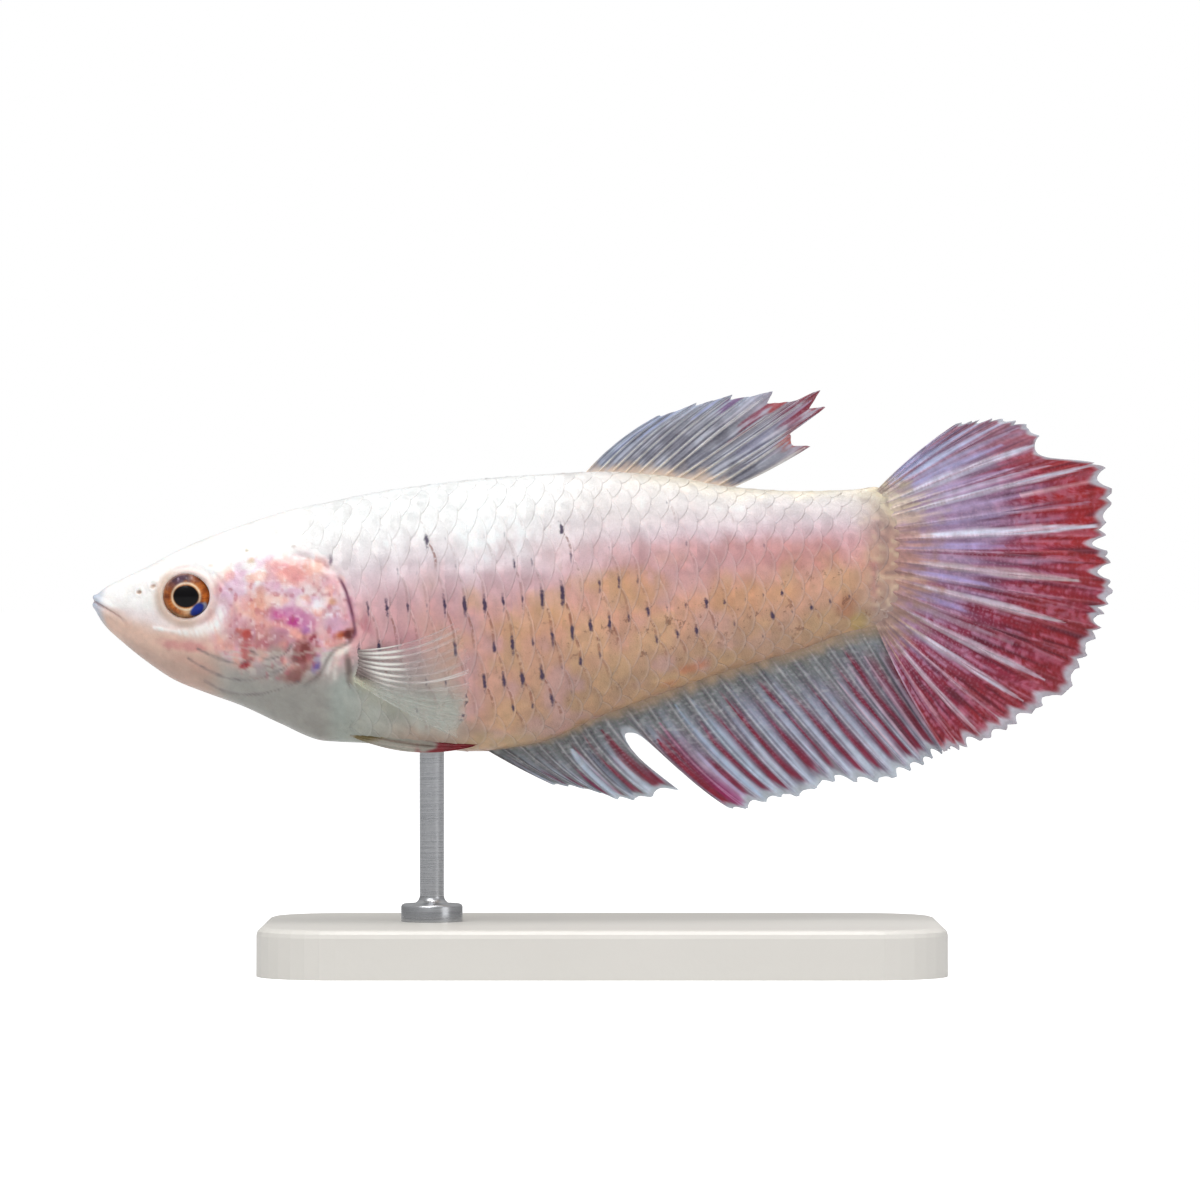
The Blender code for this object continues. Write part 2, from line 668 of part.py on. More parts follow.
def build_pelvic_fins(look, fish):
    for side, name in ((-1, "pelvic_fin_left"), (1, "pelvic_fin_right")):
        rays = []
        for place in np.linspace(0.0, 1.0, 4):
            ends = []
            for share, shift in ((0.0, 0.5), (1.0, 0.8)):
                back = PELVIC_ROOT + PELVIC_LENGTH * share - shift * place
                under = float(body_underside(back, PELVIC_OUT)) - GAP - 0.02
                depth = float(through(PELVIC_DEPTHS, 1, share))
                ends.append((back, side * PELVIC_OUT, under - depth * place))
            rays.append(Ray(*ends, -0.012 - 0.03 * place, lambda s: 0.0 * s))
        fin_solid(name, rays, 8, look, fish)


# Display stand


def build_rod(look, fish):
    """A turned rod with a flange at its foot, from just over the base to just under the belly."""
    near = np.array((ROD_BACK - ROD_RADIUS, ROD_BACK, ROD_BACK + ROD_RADIUS))
    height = float(body_section(near)[1].min()) - GAP + SNOUT_HEIGHT - BASE_SIZE[2] - GAP
    profile = [(0.0, height), (ROD_RADIUS, height)]
    for a in np.radians(np.linspace(90, 0, 5)):
        radius = ROD_RADIUS + FLANGE_FILLET * (1 - math.sin(a))
        profile.append((radius, FLANGE_HEIGHT + FLANGE_FILLET * (1 - math.cos(a))))
    profile += [(FLANGE_RADIUS - FLANGE_EDGE, FLANGE_HEIGHT), (FLANGE_RADIUS, FLANGE_HEIGHT - FLANGE_EDGE)]
    profile += [(FLANGE_RADIUS, FLANGE_EDGE), (FLANGE_RADIUS - FLANGE_EDGE, 0.0), (0.0, 0.0)]
    mesh = bpy.data.meshes.new("stand_rod")
    points = [(radius * MM, 0.0, level * MM) for radius, level in profile]
    mesh.from_pydata(points, [(k, k + 1) for k in range(len(points) - 1)], [])
    rod = settle(bpy.data.objects.new("stand_rod", mesh), "stand_rod", look, fish)
    rod.location = placed((ROD_BACK, 0.0, BASE_SIZE[2] + GAP - SNOUT_HEIGHT))
    turn = rod.modifiers.new("Turn", "SCREW")
    turn.steps = turn.render_steps = 28
    turn.use_merge_vertices = True
    turn.merge_threshold = 1e-6
    turn.use_smooth_shade = True


def build_base(look, fish):
    """A plate with round corners and a small bevel along its upper edge."""
    length, width, height = BASE_SIZE
    bpy.ops.mesh.primitive_cube_add(size=MM)
    base = bpy.context.object
    base.data.transform(Matrix.Diagonal((length, width, height, 1.0)))
    base.location = (0.0, 0.0, height / 2 * MM)
    shaped = bmesh.new()
    shaped.from_mesh(base.data)
    upright = [e for e in shaped.edges if abs(e.verts[0].co.z - e.verts[1].co.z) > height / 2 * MM]
    bmesh.ops.bevel(shaped, geom=upright, offset=BASE_CORNER * MM, segments=8, profile=0.5, affect="EDGES")
    upper = [e for e in shaped.edges if min(v.co.z for v in e.verts) > 0.49 * height * MM]
    bmesh.ops.bevel(shaped, geom=upper, offset=BASE_BEVEL * MM, segments=3, profile=0.5, affect="EDGES")
    shaped.to_mesh(base.data)
    shaped.free()
    shade(settle(base, "stand_base", look, fish))


def main():
    clear_scene()
    skin = material("skin", (0.72, 0.50, 0.44), 0.38)
    eye = material("eye", (0.10, 0.05, 0.03), 0.08)
    red_fin = material("red_fin", (0.62, 0.20, 0.28), 0.42)
    pale_fin = material("pale_fin", (0.62, 0.66, 0.70), 0.42)
    rod = material("rod", (0.55, 0.56, 0.58), 0.30, 1.0)
    base = material("base", (0.80, 0.79, 0.76), 0.50)
    fish = collection("plakat_betta")
    cutters = collection("cutters")
    build_body(skin, fish, cutters)
    build_eyes(eye, fish)
    build_dorsal_fin(pale_fin, fish)
    build_anal_fin(red_fin, fish)
    build_caudal_fin(red_fin, fish)
    build_pectoral_fins(pale_fin, fish)
    build_pelvic_fins(red_fin, fish)
    build_rod(rod, fish)
    build_base(base, fish)


main()
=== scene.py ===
"""The looks of a life-size plakat betta, held level by a small display stand.

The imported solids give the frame. One skin, a coat of scales, fine fins, painted eyes and a turned rod take
the place of the solid nodes, and the solid base gets a paint. Fish measures are in millimetres, as in the
part's source: lengths run back from the tip of the snout, heights go up from the level of that tip, and
widths go out from the middle.
"""

import math
from functools import partial

import bpy
import numpy as np
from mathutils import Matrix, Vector


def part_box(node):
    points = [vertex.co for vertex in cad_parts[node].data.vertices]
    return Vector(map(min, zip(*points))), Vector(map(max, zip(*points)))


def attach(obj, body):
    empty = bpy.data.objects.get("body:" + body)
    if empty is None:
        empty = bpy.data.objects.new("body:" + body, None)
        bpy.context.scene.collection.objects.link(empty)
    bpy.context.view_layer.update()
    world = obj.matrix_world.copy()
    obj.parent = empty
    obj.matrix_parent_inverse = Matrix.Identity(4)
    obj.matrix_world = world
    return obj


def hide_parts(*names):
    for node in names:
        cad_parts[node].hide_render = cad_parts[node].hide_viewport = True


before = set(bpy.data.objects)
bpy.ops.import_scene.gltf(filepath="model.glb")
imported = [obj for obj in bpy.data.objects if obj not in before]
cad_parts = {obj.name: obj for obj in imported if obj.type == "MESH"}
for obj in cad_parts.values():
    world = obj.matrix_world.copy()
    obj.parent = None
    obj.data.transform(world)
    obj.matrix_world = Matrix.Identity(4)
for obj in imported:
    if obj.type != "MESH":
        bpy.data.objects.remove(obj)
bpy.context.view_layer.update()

MM = 0.001
SNOUT_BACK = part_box("head")[0][0] / MM  # the tip of the snout along the frame's X
SNOUT_HEIGHT = 22.84

# The head and body without fins: back from the snout, height of the back, of the belly, half width.
BODY_STATIONS = (
    (0.00, 0.05, -0.10, 0.12),
    (0.10, 0.22, -0.48, 0.45),
    (0.28, 0.38, -0.93, 0.75),
    (0.77, 0.78, -1.64, 1.20),
    (1.76, 1.30, -2.56, 1.72),
    (3.30, 2.04, -3.80, 2.22),
    (5.15, 3.02, -5.00, 2.65),
    (7.00, 3.83, -5.74, 2.97),
    (9.20, 4.63, -6.54, 3.32),
    (11.6, 5.40, -7.65, 3.66),
    (14.4, 6.11, -8.80, 3.95),
    (17.2, 6.70, -8.95, 4.15),
    (20.3, 7.16, -9.17, 4.20),
    (23.4, 7.53, -9.44, 4.10),
    (27.1, 7.81, -8.98, 3.75),
    (31.4, 8.02, -7.25, 3.20),
    (35.7, 7.72, -5.65, 2.65),
    (39.4, 7.08, -4.41, 2.15),
    (43.7, 6.82, -3.15, 1.65),
    (46.8, 6.91, -2.10, 1.30),
    (48.2, 7.09, -1.91, 1.10),
)
WIDEST_LEVEL = 0.54  # share of the depth at which a section is widest
SECTION_POWER = 2.2  # 2 would make each section an ellipse
STALK_END = 48.2
STALK_LEVEL = 2.59
STALK_ROUND_LENGTH = 2.04
STALK_HALF_DEPTH = 4.50
STALK_TIP_HALF_WIDTH = 0.05
STALK_THINS = (44.5, 48.2)  # between these places it thins out towards the tail fin
STALK_THINNING = 0.25  # share of its half width that it loses there

# Face
MOUTH = ((0.0, -0.04), (0.7, -0.42), (1.3, -0.78), (1.8, -1.12), (2.12, -1.50))
EYE_CENTRE = (5.90, 2.12, 0.22)  # back, out, up
EYE_RADII = (1.50, 1.05, 1.45)
EYE_OPENING = (1.42, 1.35)  # half length and half height of what the skin leaves free
NOSTRILS = ((2.95, 0.50, 0.17), (3.85, 0.90, 0.22))  # back, up, radius
COVER_OUTLINE = (
    (10.5, 2.35), (12.9, 2.45), (14.7, 1.70), (15.5, 0.55), (15.9, -0.85), (16.1, -1.9), (15.75, -2.45),
    (15.0, -2.8), (14.45, -3.5), (13.9, -4.4), (12.8, -5.1), (11.2, -5.45), (9.6, -5.1), (9.0, -3.6),
    (8.9, -1.6), (9.4, 0.9),
)

# Scales
SCALE_EXPOSED = 1.18  # what shows of each along the fish
SCALE_ROW_TURN = math.radians(15.0)
SCALE_PHASE = 20.83  # back to the hind edge of one scale of the middle row
COAT_DEPTH = 0.10  # how far the skin lies under the smooth body where scales cover it
COAT_BEGINS = (12.0, 15.0)


# Numbers and shapes


def placed(points):
    """Points in fish measures (back, out and up, in millimetres) as points of the frame in metres."""
    return (np.asarray(points, float) + (SNOUT_BACK, 0.0, SNOUT_HEIGHT)) * MM


def eased(start, end, at):
    """0 before start, 1 after end, and a smooth step between them."""
    t = np.clip((np.asarray(at, float) - start) / (end - start), 0.0, 1.0)
    return t * t * (3 - 2 * t)


def faded(start, end, at):
    """1 before start, 0 after end, and a smooth step between them."""
    return 1 - eased(start, end, at)


def bell(distance, width):
    """1 at no distance, and falling to nothing past the width."""
    return np.exp(-((distance / width) ** 2))


def through(stations, column, at):
    """A monotone cubic through one column of a table of stations, read at the places in `at`."""
    table = np.array(stations, float)
    x, y = table[:, 0], table[:, column]
    step = np.diff(x)
    slope = np.diff(y) / step
    tangent = np.zeros_like(y)
    before, after = slope[:-1], slope[1:]
    same_way = before * after > 0
    tangent[1:-1][same_way] = (2 * before * after)[same_way] / (before + after)[same_way]
    tangent[0], tangent[-1] = slope[0], slope[-1]
    at = np.clip(np.asarray(at, float), x[0], x[-1])
    i = np.clip(np.searchsorted(x, at) - 1, 0, len(step) - 1)
    t = (at - x[i]) / step[i]
    value = y[i] * (1 + 2 * t) * (1 - t) ** 2 + y[i + 1] * t * t * (3 - 2 * t)
    return value + step[i] * t * (1 - t) * (tangent[i] * (1 - t) - tangent[i + 1] * t)


def noise(points, size, seed):
    """Smooth random values from -1 to 1 over space: random numbers on a lattice of cells of `size`, eased
    from corner to corner."""
    cells = 32
    lattice = np.random.default_rng(seed).uniform(-1, 1, (cells, cells, cells))
    place = np.asarray(points, float) / size
    cell = np.floor(place).astype(int)
    t = place - cell
    t = t * t * (3 - 2 * t)
    total = np.zeros(place.shape[:-1])
    for corner in np.ndindex(2, 2, 2):
        weight = np.prod(np.where(corner, t, 1 - t), axis=-1)
        i = (cell + corner) % cells
        total += weight * lattice[i[..., 0], i[..., 1], i[..., 2]]
    return total


def rounded(outline, count, closed=True):
    """A smooth curve through the points of an outline or a line."""
    points = np.array(outline, float)
    if not closed:
        points = np.vstack([2 * points[0] - points[1], points, 2 * points[-1] - points[-2]])
        place = 1 + np.linspace(0, len(outline) - 1, count)
    else:
        place = np.linspace(0, len(points), count, endpoint=False)
    i = np.minimum(place.astype(int), len(points) - (1 if closed else 3))
    t = (place - i)[:, None]
    p0, p1, p2, p3 = (points[(i + k) % len(points)] for k in (-1, 0, 1, 2))
    square = (2 * p0 - 5 * p1 + 4 * p2 - p3) * t**2
    cube = (3 * p1 - p0 - 3 * p2 + p3) * t**3
    return 0.5 * (2 * p1 + (p2 - p0) * t + square + cube)


def line_distance(back, up, line):
    """Distance in the side view from each place to a line of points."""
    nearest = np.full(np.shape(back), 1e9)
    for (x0, z0), (x1, z1) in zip(line[:-1], line[1:]):
        run, rise = x1 - x0, z1 - z0
        t = np.clip(((back - x0) * run + (up - z0) * rise) / (run * run + rise * rise), 0.0, 1.0)
        nearest = np.minimum(nearest, np.hypot(back - x0 - t * run, up - z0 - t * rise))
    return nearest


def depth_inside(back, up, outline):
    """Distance to a closed outline in the side view, above 0 inside it and below 0 outside."""
    ring = np.vstack([outline, outline[:1]])
    inside = np.zeros(np.shape(back), bool)
    for (x0, z0), (x1, z1) in zip(ring[:-1], ring[1:]):
        crosses = (z0 > up) != (z1 > up)
        inside ^= crosses & (back < x0 + (up - z0) * (x1 - x0) / (z1 - z0 + 1e-12))
    return np.where(inside, 1, -1) * line_distance(back, up, ring)


# Meshes


def grid_quads(rows, columns, wrap=False):
    """The quads of a grid of points that is stored row by row."""
    r = np.arange(rows - 1)[:, None] * columns
    c = np.arange(columns if wrap else columns - 1)[None]
    after = (c + 1) % columns
    return np.stack([r + c, r + after, r + columns + after, r + columns + c], axis=-1).reshape(-1, 4)


def pole_fans(rows, columns):
    """Triangles that close a tube of rings at both ends. Its two end points are stored after the rings."""
    k = np.arange(columns)
    after = (k + 1) % columns
    last = (rows - 1) * columns
    at_first = np.stack([np.full(columns, rows * columns), after, k], axis=1)
    at_last = np.stack([np.full(columns, rows * columns + 1), last + k, last + after], axis=1)
    return np.vstack([at_first, at_last])


def rim_quads(rows, columns, each):
    """Quads that join the rims of two sheets of rows x columns points, the second `each` points later."""
    rim = np.concatenate(
        [
            np.arange(columns),
            np.arange(1, rows) * columns + columns - 1,
            (rows - 1) * columns + np.arange(columns - 2, -1, -1),
            np.arange(rows - 2, 0, -1) * columns,
        ]
    )
    after = np.roll(rim, -1)
    return np.stack([rim, rim + each, after + each, after], axis=1)


def make_piece(name, points, quads, material, tint=None, triangles=(), maps=None, values=None):
    """A closed mesh from fish measures. tint is a colour for each point, values are numbers for each point,
    and maps give each point or corner its place on a flat map."""
    triangles = np.array(triangles, int).reshape(-1, 3)
    a, b, c = (points[quads[:, k]] for k in (0, 1, 2))
    d = points[quads[:, 3]]
    inward = np.sum(np.cross(a, b) * c) + np.sum(np.cross(a, c) * d) < 0
    corners = np.concatenate([quads.reshape(-1), triangles.reshape(-1)])
    starts = np.concatenate([np.arange(len(quads)) * 4, len(quads) * 4 + np.arange(len(triangles)) * 3])
    mesh = bpy.data.meshes.new(name)
    mesh.vertices.add(len(points))
    mesh.vertices.foreach_set("co", placed(points).astype(np.float32).ravel())
    mesh.loops.add(len(corners))
    mesh.loops.foreach_set("vertex_index", corners.astype(np.int32))
    mesh.polygons.add(len(starts))
    mesh.polygons.foreach_set("loop_start", starts.astype(np.int32))
    mesh.update(calc_edges=True)
    if tint is not None:
        rgba = np.ones((len(points), 4))
        rgba[:, : tint.shape[1]] = tint
        rgba[:, :3] = linear(rgba[:, :3])
        mesh.color_attributes.new("tint", "FLOAT_COLOR", "POINT").data.foreach_set("color", rgba.ravel())
    for key, value in (values or {}).items():
        mesh.attributes.new(key, "FLOAT", "POINT").data.foreach_set("value", np.asarray(value, float).ravel())
    for key, at in (maps or {}).items():
        corner_at = at if len(at) == len(corners) else at[corners]
        mesh.uv_layers.new(name=key).uv.foreach_set("vector", corner_at.astype(np.float32).ravel())
    if inward:
        mesh.flip_normals()
    mesh.shade_smooth()
    mesh.materials.append(material)
    made = bpy.data.objects.new(name, mesh)
    bpy.context.scene.collection.objects.link(made)
    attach(made, "root")
    return made


def linear(colour):
    """Screen colours as the linear ones that light adds up in."""
    colour = np.clip(colour, 0.0, 1.0)
    return np.where(colour <= 0.04045, colour / 12.92, ((colour + 0.055) / 1.055) ** 2.4)


def tone(tint):
    """A tint of three numbers from 0 to 255 as a screen colour of three from 0 to 1."""
    return np.array(tint) / 255


def ellipse_distance(x, z, length, height, tilt):
    """1 on the edge of an ellipse that is tilted by some degrees, less inside it and more outside."""
    a = math.radians(tilt)
    along = (x * math.cos(a) + z * math.sin(a)) / length
    over = (z * math.cos(a) - x * math.sin(a)) / height
    return np.hypot(along, over)


class Wash:
    """Colours laid one over another on an array of places, each through a mask of its own. Named tints run
    from 0 to 255. A tint that is an array holds screen colours from 0 to 1."""

    def __init__(self, tint, place):
        self.place = place
        self.colour = np.broadcast_to(tone(tint), place.shape)

    def lay(self, tint, mask):
        over = tone(tint) if isinstance(tint, tuple) else tint
        mask = np.asarray(mask)[..., None]
        self.colour = self.colour * (1 - mask) + over * mask

    def shade(self, shade):
        self.colour = self.colour * shade[..., None]

    def lay_blotches(self, blotches, ragged):
        """Soft-edged ellipses: back, up, half length, half height, tilt, tint, strength. Ragged noise shifts
        their edges."""
        for back, up, length, height, tilt, tint, strength in blotches:
            x, z = self.place[..., 0] - back, self.place[..., 2] - up
            off = ellipse_distance(x, z, length, height, tilt)
            self.lay(tint, strength * faded(0.35, 1.3, off + ragged))

    def lay_streaks(self, f, streaks):
        """Spindle-shaped streaks along a fin's rays: ray, start, end, half width, tint, strength."""
        wobble = 0.35 * fibres(f, 1.5, 0.5, 90)
        shimmer = 0.74 + 0.26 * eased(-0.35, 0.25, fibres(f, 16.0, 0.5, 91))
        for ray, start, end, width, tint, strength in streaks:
            t = np.clip((f["s"] - start) / (end - start), 0, 1)
            reach = width * np.sin(math.pi * t) ** 0.55 + 1e-6
            off = np.abs(f["ray"] - ray) * f["pitch"] / reach + wobble * 0.5
            self.lay(tint, strength * shimmer * faded(0.45, 1.15, off) * (t > 0) * (t < 1))


# Body surface


def body_section(back):
    """Height of the back, height of the belly and half width at places along the fish. Past the stalk's end
    it thins out to lie on the tail fin."""
    back = np.asarray(back, float)
    top = through(BODY_STATIONS, 1, back)
    bottom = through(BODY_STATIONS, 2, back)
    half_width = through(BODY_STATIONS, 3, back) * (1 - STALK_THINNING * eased(*STALK_THINS, back))
    past = np.clip((back - STALK_END) / STALK_ROUND_LENGTH, 0.0, 1.0)
    half_depth = STALK_HALF_DEPTH * np.sqrt(1 - past**2)
    top = np.where(past > 0, STALK_LEVEL + half_depth, top)
    bottom = np.where(past > 0, STALK_LEVEL - half_depth, bottom)
    return top, bottom, half_width + (STALK_TIP_HALF_WIDTH - half_width) * past


def height_share(back, up):
    """0 on the belly's line and 1 on the back's."""
    top, bottom, _ = body_section(back)
    return (up - bottom) / (top - bottom)


def widest_level(top, bottom):
    return bottom + WIDEST_LEVEL * (top - bottom)


def oval(share):
    """How much of its reach one way a section keeps, where it has used this share of its reach the other."""
    return (1 - share**SECTION_POWER) ** (1 / SECTION_POWER)


def body_point(back, turn, depth=0.0):
    """A point at `depth` inside the body's surface. Its section is a rounded oval, widest at a level of its
    own, and the turn goes round it from the right flank over the back."""
    top, bottom, half_width = body_section(back)
    level = widest_level(top, bottom)
    cos, sin = np.cos(turn), np.sin(turn)
    across = np.sign(cos) * np.abs(cos) ** (2 / SECTION_POWER)
    upward = np.sign(sin) * np.abs(sin) ** (2 / SECTION_POWER)
    rise = np.where(sin > 0, top - level, level - bottom)
    least = 0.3  # share of the section that stays, however deep the point lies
    out = across * np.maximum(half_width - depth, least * half_width)
    up = level + upward * np.maximum(rise - depth, least * rise)
    return np.stack([np.broadcast_to(back, up.shape), out, up], axis=-1)


def body_normal(back, turn):
    """The way out of the smooth body, from points a small step before, behind and to either side."""
    step, turn_step = 0.03, 0.02
    along = body_point(back + step, turn) - body_point(np.maximum(back - step, 0.0), turn)
    around = body_point(back, turn + turn_step) - body_point(back, turn - turn_step)
    normal = np.cross(around, along)
    return normal / np.maximum(np.linalg.norm(normal, axis=-1, keepdims=True), 1e-9)


COVER = rounded(COVER_OUTLINE, 56)
COVER_PROUD = 0.19
COVER_SLIT = 0.13
LIP_HEIGHTS = (0.105, 0.045)  # at the snout and at the mouth's corner
MOUTH_DEPTHS = (0.12, 0.06)
EYE_RING_HEIGHT = 0.10
SOCKET_DEPTH = 1.35
EYE_RIDGE_HEIGHT = 0.08
PECTORAL_FLESH = (15.75, -4.05)  # middle of the fleshy root: back, up
PECTORAL_FLESH_SIZE = (0.75, 1.35)
PECTORAL_FLESH_HEIGHT = 0.42
MOUTH_LINE = rounded(MOUTH, 14, closed=False)
THROAT_FOLDS = tuple(
    rounded(line, 12, closed=False)
    for line in (
        ((6.0, -3.6), (7.4, -4.4), (8.7, -4.85), (10.3, -4.85), (11.7, -4.3), (12.7, -3.6)),
        ((7.0, -5.0), (8.0, -5.55), (9.5, -5.8), (11.2, -5.6), (12.8, -5.0)),
        ((6.6, -3.0), (7.9, -3.6), (9.0, -3.9), (9.9, -3.7)),
        ((9.9, -3.1), (10.8, -3.6), (11.8, -3.4), (12.4, -2.8)),
    )
)
CHEEK_EDGE = rounded(((7.6, 1.6), (8.7, 0.2), (8.8, -1.8), (8.1, -3.4), (6.4, -4.3)), 16, closed=False)
EYE_RIDGE = rounded(((3.9, -1.70), (5.6, -1.95), (7.0, -1.85), (7.8, -1.45), (8.1, -0.75)), 18, closed=False)
SHOULDER_RIDGES = tuple(
    rounded(line, 10, closed=False)
    for line in (
        ((15.6, -2.75), (15.1, -3.05), (14.75, -3.7), (14.65, -4.5)),
        ((15.75, -3.05), (15.35, -3.4), (15.1, -4.0), (15.0, -4.8)),
    )
)


CHIN_LINE = rounded(((0.5, -1.2), (1.8, -2.0), (3.2, -2.9), (5.0, -3.7)), 12, closed=False)
CHEEK_OUTLINE = (
    (7.7, 1.4), (9.5, 2.5), (12.5, 2.9), (14.9, 2.3), (16.1, 0.3), (16.4, -2.5), (15.2, -4.0), (12.6, -5.0),
    (9.8, -4.7), (8.0, -3.4), (7.3, -1.6),
)
CHEEK = rounded(CHEEK_OUTLINE, 40)


def ridge_width(back):
    """Half width of the silvery ridge under the eye: fine in front, broad behind."""
    return 0.11 + 0.33 * eased(4.6, 7.2, back)


def silver_strokes(place):
    """Uneven slanting strokes of the silver band under the eye."""
    slanted = place * (1.0, 0.0, 0.22)
    slanted[..., 0] += 0.35 * place[..., 2]
    return 0.86 + 0.30 * noise(slanted, 0.15, 17)


def eye_distance(back, up):
    """1 on the rim of the eye's opening, less inside it and more outside."""
    return np.hypot((back - EYE_CENTRE[0]) / EYE_OPENING[0], (up - EYE_CENTRE[2]) / EYE_OPENING[1])


def relief(place, with_cover=True):
    """How far the skin stands out from the smooth body: lips, chin, nostrils, the ring round the eye, the
    ridge under it, cheek, gill cover, folds of throat and shoulder, and the pectoral fin's fleshy root."""
    back, up = place[..., 0], place[..., 2]
    flank = eased(0.25, 1.3, np.abs(place[..., 1]))
    rough = noise(place, 0.9, 11)
    mouth = line_distance(back, up, MOUTH_LINE)
    toward_corner = eased(0.3, 2.1, back)
    lips, groove = (ends[0] + (ends[1] - ends[0]) * toward_corner for ends in (LIP_HEIGHTS, MOUTH_DEPTHS))
    total = lips * bell(mouth - 0.24, 0.18)
    total -= groove * bell(mouth, 0.085)
    total += 0.05 * bell(line_distance(back, up, CHIN_LINE), 0.22) * flank
    for x, z, radius in NOSTRILS:
        off = np.hypot(back - x, up - z)
        total += flank * (0.04 * bell(off - 1.3 * radius, 0.10) - 0.13 * bell(off, 0.75 * radius))
    eye = eye_distance(back, up)
    total += flank * EYE_RING_HEIGHT * bell(eye - 1.15, 0.13)
    total -= flank * 0.05 * bell(eye - 1.42, 0.10)
    total -= flank * SOCKET_DEPTH * faded(0.86, 1.04, eye)
    under_eye = bell(line_distance(back, up, EYE_RIDGE), ridge_width(back))
    total += flank * EYE_RIDGE_HEIGHT * under_eye * silver_strokes(place)
    cheek_edge = line_distance(back, up, CHEEK_EDGE)
    edge = 0.06 * bell(cheek_edge - 0.25, 0.3) - 0.05 * bell(cheek_edge, 0.16)
    total += flank * edge * (0.7 + 0.5 * rough)
    for fold in THROAT_FOLDS:
        off = line_distance(back, up, fold) + 0.05 * rough
        total += flank * (0.035 * bell(off - 0.3, 0.25) - 0.05 * bell(off, 0.14)) * (0.7 + 0.6 * rough)
    from_root = (place[..., [0, 2]] - PECTORAL_FLESH) / PECTORAL_FLESH_SIZE
    total += PECTORAL_FLESH_HEIGHT * flank * bell(np.hypot(from_root[..., 0], from_root[..., 1]), 1.0)
    for ridge in SHOULDER_RIDGES:
        total += 0.05 * flank * bell(line_distance(back, up, ridge), 0.16)
    cheek = flank * eased(-0.2, 0.5, depth_inside(back, up, CHEEK))
    total += cheek * (0.035 * noise(place, 0.55, 12) + 0.022 * noise(place, 0.3, 13))
    if with_cover:
        deep = depth_inside(back, up, COVER) + 0.04 * rough
        hind = eased(11.5, 13.5, back)
        soft = 1.6 - 1.25 * hind
        total += flank * COVER_PROUD * np.clip(deep / soft + 0.5, 0.0, 1.0)
        total -= flank * COVER_SLIT * hind * bell(deep + 0.24, 0.19)
    return total


def on_skin(back, turn, raised=0.0, with_cover=True):
    """Points of the skin, or `raised` above it."""
    depth = COAT_DEPTH * eased(*COAT_BEGINS, back)
    smooth = body_point(back, turn, depth)
    lift = relief(smooth, with_cover) + raised
    return smooth + lift[..., None] * body_normal(back, turn)


# Colours of the body

PEARL = (250, 248, 246)
LILAC = (234, 206, 216)
ROSE = (222, 164, 166)
PEACH = (222, 162, 130)
GOLD = (210, 168, 126)
TAN = (190, 150, 120)
CREAM = (222, 206, 172)
TAIL_ROOT = (190, 154, 138)
# Throat and belly greys: partly the fish's own tint, partly painted shade as under light from above.
THROAT = (162, 170, 164)
BELLY = (182, 182, 172)
JAW = (226, 192, 174)
LOW_JAW = (190, 160, 146)
SNOUT = (196, 206, 224)
INK = (58, 42, 76)

